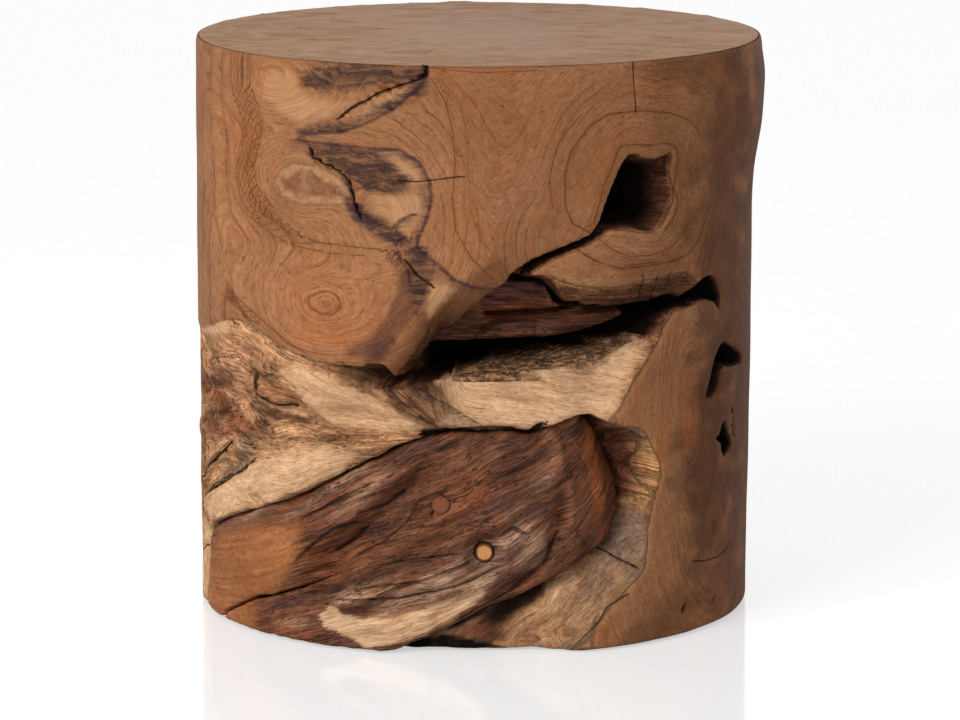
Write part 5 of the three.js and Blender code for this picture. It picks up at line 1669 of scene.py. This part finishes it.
def grown_by_nodes(name, source, tree, values):
    """Runs a geometry node tree on a mesh and returns the result as a plain mesh object."""
    holder = bpy.data.objects.new(name + "_source", source)
    bpy.context.scene.collection.objects.link(holder)
    modifier = holder.modifiers.new("grow", "NODES")
    modifier.node_group = tree
    for item in tree.interface.items_tree:
        if item.item_type == "SOCKET" and item.in_out == "INPUT" and item.name in values:
            modifier[item.identifier] = values[item.name]
    evaluated = holder.evaluated_get(bpy.context.evaluated_depsgraph_get())
    mesh = bpy.data.meshes.new_from_object(evaluated)
    mesh.name = name
    bpy.data.objects.remove(holder)
    piece = bpy.data.objects.new(name, mesh)
    bpy.context.scene.collection.objects.link(piece)
    return piece


class STOOL_OT_pads(bpy.types.Operator):
    """Lays the four felt pads under the foot"""

    bl_idname = "stool.pads"
    bl_label = "Lay felt pads"

    def execute(self, context):
        nodes = [name for name in sorted(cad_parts) if name.startswith("felt_pad_")]
        middles = [sum(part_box(name), Vector()) / 2 for name in nodes]
        source = bpy.data.meshes.new("pad_places")
        source.from_pydata([tuple(point) for point in middles], [], [])
        low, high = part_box(nodes[0])
        values = {"Width": PAD_WIDTH * MM, "Thickness": high.z - low.z, "Material": felt_material()}
        piece = grown_by_nodes("felt_pads", source, pad_tree(), values)
        settle(piece, "felt", *nodes)
        return {"FINISHED"}


def splinter_tree():
    """Geometry nodes: torn fibres scattered on a strip, each a thin wedge lying along it."""
    tree, w, given = growing_tree("Torn fibres", Strip="Geometry", Count="Int", Length="Float", Seed="Int")
    each = w.add("GeometryNodeInputMeshFaceArea").outputs[0]
    area = w.named("GeometryNodeAttributeStatistic", {"Geometry": given["Strip"], "Attribute": each}, domain="FACE")
    scattered = w.named("GeometryNodeDistributePointsOnFaces", {
        "Mesh": given["Strip"], "Density": w.over(given["Count"], area.outputs["Sum"]), "Seed": given["Seed"],
    })
    wedge = w.named("GeometryNodeMeshCone", {
        "Vertices": 4, "Radius Top": 0.0, "Radius Bottom": w.times(given["Length"], 0.11), "Depth": given["Length"],
    })
    least, most = [tuple(math.radians(turn) for turn in turns) for turns in ((-18, 66, -16), (18, 100, 24))]
    turned = w.named("FunctionNodeRandomValue", {0: least, 1: most, "Seed": given["Seed"]}, data_type="FLOAT_VECTOR")
    sized = w.named("FunctionNodeRandomValue", {2: 0.35, 3: 1.0, "Seed": given["Seed"]}, data_type="FLOAT")
    place_pieces(w, given, Points=scattered.outputs["Points"], Instance=wedge.outputs["Mesh"],
                 Rotation=turned.outputs[0], Scale=sized.outputs[1])
    return tree


def fibre_material():
    """Torn fibres: pale or dark by chance."""
    material, w, shader = new_material("torn_fibre", 0.1)
    chance = w.grain(place_of(w), 160.0, 4.0, 0.7)
    dark, light = TONES["limb_dark"] * 0.7, TONES["sap_dull"]
    w.feed(shader.inputs["Base Color"], w.blend(w.spread(chance, 0.42, 0.6), dark, light))
    shader.inputs["Roughness"].default_value = 0.8
    return material


def hollow_floor(angles, radii, heights):
    """Mesh of the strip of the hollow's floor under the given angles and radii."""
    solid = block_field(*np.ix_(angles, heights, radii)) < 0
    top = len(heights) - 1 - np.argmax(solid[:, ::-1], axis=1)
    places = [(angle, heights[top[i, j]], radius) for i, angle in enumerate(angles) for j, radius in enumerate(radii)]
    wide = len(radii)
    faces = [(i * wide + j, i * wide + j + 1, (i + 1) * wide + j + 1, (i + 1) * wide + j)
             for i in range(len(angles) - 1) for j in range(wide - 1)]
    strip = bpy.data.meshes.new("hollow_floor")
    strip.from_pydata([tuple(point) for point in to_metres(np.array(places))], [], faces)
    return strip


class STOOL_OT_splinters(bpy.types.Operator):
    """Scatters torn fibres over the rough floor of the hollow"""

    bl_idname = "stool.splinters"
    bl_label = "Scatter torn fibres"

    def execute(self, context):
        shape = context.scene.root_stool
        strip = hollow_floor(np.arange(-2, 33, 2.5), np.arange(DRUM_RADIUS - 68, DRUM_RADIUS - 22, 6),
                             np.arange(190, 224, 1.0) * TALL)
        values = {"Count": shape.splinters, "Length": SPLINTER_LENGTH * MM, "Seed": shape.splinter_seed,
                  "Material": fibre_material()}
        piece = grown_by_nodes("torn_fibres", strip, splinter_tree(), values)
        settle(piece, "weathered_teak")
        return {"FINISHED"}


def soft_light(name, at, towards, size, power):
    """A square area light aimed at a point."""
    lamp = bpy.data.lights.new(name, "AREA")
    lamp.shape = "SQUARE"
    lamp.size = size
    lamp.energy = power
    holder = bpy.data.objects.new(name, lamp)
    holder.location = at
    holder.rotation_euler = (Vector(towards) - Vector(at)).to_track_quat("-Z", "Y").to_euler()
    bpy.context.scene.collection.objects.link(holder)


def floor_material(colour):
    """White floor: seen as white, holding a soft shadow and a faint mirror of the stool."""
    material, w, shader = new_material("pale_floor")
    tree = material.node_tree
    shader.inputs["Base Color"].default_value = (*colour, 1)
    shader.inputs["Roughness"].default_value = 0.6
    seen = w.add("ShaderNodeLightPath").outputs["Is Camera Ray"]
    glow = w.add("ShaderNodeEmission", (1.0, 1.0, 1.0), 0.72)
    matt = w.add("ShaderNodeBsdfDiffuse", (0.5, 0.5, 0.5))
    lit = w.add("ShaderNodeAddShader", glow.outputs[0], matt.outputs[0])
    mirror = w.add("ShaderNodeBsdfAnisotropic", (1.0, 1.0, 1.0))
    mirror.inputs["Roughness"].default_value = 0.09
    edge = w.add("ShaderNodeFresnel", 1.32).outputs[0]
    view = w.add("ShaderNodeMixShader", edge, lit.outputs[0], mirror.outputs[0])
    both = w.add("ShaderNodeMixShader", seen, shader.outputs[0], view.outputs[0])
    tree.links.new(both.outputs[0], tree.nodes["Material Output"].inputs["Surface"])
    return material


class STOOL_OT_stage(bpy.types.Operator):
    """Sets the floor, the soft lights and the camera"""

    bl_idname = "stool.stage"
    bl_label = "Set stage"

    def execute(self, context):
        stage = context.scene.root_stool_stage
        floor = new_piece("floor", np.array([(-9, -5, 0), (9, -5, 0), (9, 14, 0), (-9, 14, 0)], float),
                          [(0, 1, 2, 3)])
        as_slots(floor, floor_material(tuple(stage.floor_colour)))
        world = bpy.data.worlds.new("studio")
        world.use_nodes = True
        context.scene.world = world
        w = Wiring(world.node_tree)
        path = w.add("ShaderNodeLightPath").outputs
        shown = w.maths("MAXIMUM", path["Is Camera Ray"], path["Is Glossy Ray"])
        back = world.node_tree.nodes["Background"]
        back.inputs["Color"].default_value = (1, 1, 1, 1)
        w.feed(back.inputs["Strength"], w.add("ShaderNodeMapRange", shown, 0.0, 1.0, stage.sky, 1.0).outputs[0])
        middle = (0, 0, STOOL_HEIGHT * MM / 2)
        soft_light("key", (-1.7, -2.3, 1.9), middle, 1.5, stage.key_power)
        soft_light("fill", (2.2, -2.4, 0.9), middle, 1.6, stage.fill_power)
        camera = bpy.data.cameras.new("camera")
        camera.lens = stage.lens
        camera.sensor_width = 36
        holder = bpy.data.objects.new("camera", camera)
        rise = STOOL_HEIGHT * MM + stage.camera_distance * math.tan(stage.camera_rise)
        holder.location = (0.001, -stage.camera_distance, rise)
        holder.rotation_euler = (math.pi / 2 - stage.camera_pitch, 0, 0)
        context.scene.collection.objects.link(holder)
        context.scene.camera = holder
        context.scene.view_settings.view_transform = "Standard"
        return {"FINISHED"}


OPERATORS = (STOOL_OT_root_block, STOOL_OT_limbs, STOOL_OT_strand, STOOL_OT_pegs, STOOL_OT_pads, STOOL_OT_splinters,
             STOOL_OT_stage)


class STOOL_PT_panel(bpy.types.Panel):
    """Lists the steps that make the stool"""

    bl_label = "Root stool"
    bl_idname = "STOOL_PT_panel"
    bl_space_type = "VIEW_3D"
    bl_region_type = "UI"
    bl_category = "Root Stool"

    def draw(self, context):
        for group in (context.scene.root_stool, context.scene.root_stool_stage):
            for name in group.__annotations__:
                self.layout.prop(group, name)
        for operator in OPERATORS:
            self.layout.operator(operator.bl_idname)


CLASSES = (RootStoolShape, RootStoolStage, *OPERATORS, STOOL_PT_panel)


def register():
    for item in CLASSES:
        bpy.utils.register_class(item)
    bpy.types.Scene.root_stool = PointerProperty(type=RootStoolShape)
    bpy.types.Scene.root_stool_stage = PointerProperty(type=RootStoolStage)


def unregister():
    del bpy.types.Scene.root_stool_stage
    del bpy.types.Scene.root_stool
    for item in reversed(CLASSES):
        bpy.utils.unregister_class(item)


def main():
    register()
    bpy.ops.stool.root_block()
    bpy.ops.stool.limbs()
    bpy.ops.stool.strand()
    bpy.ops.stool.pegs()
    bpy.ops.stool.pads()
    bpy.ops.stool.splinters()
    bpy.ops.stool.stage()


if __name__ == "__main__":
    main()
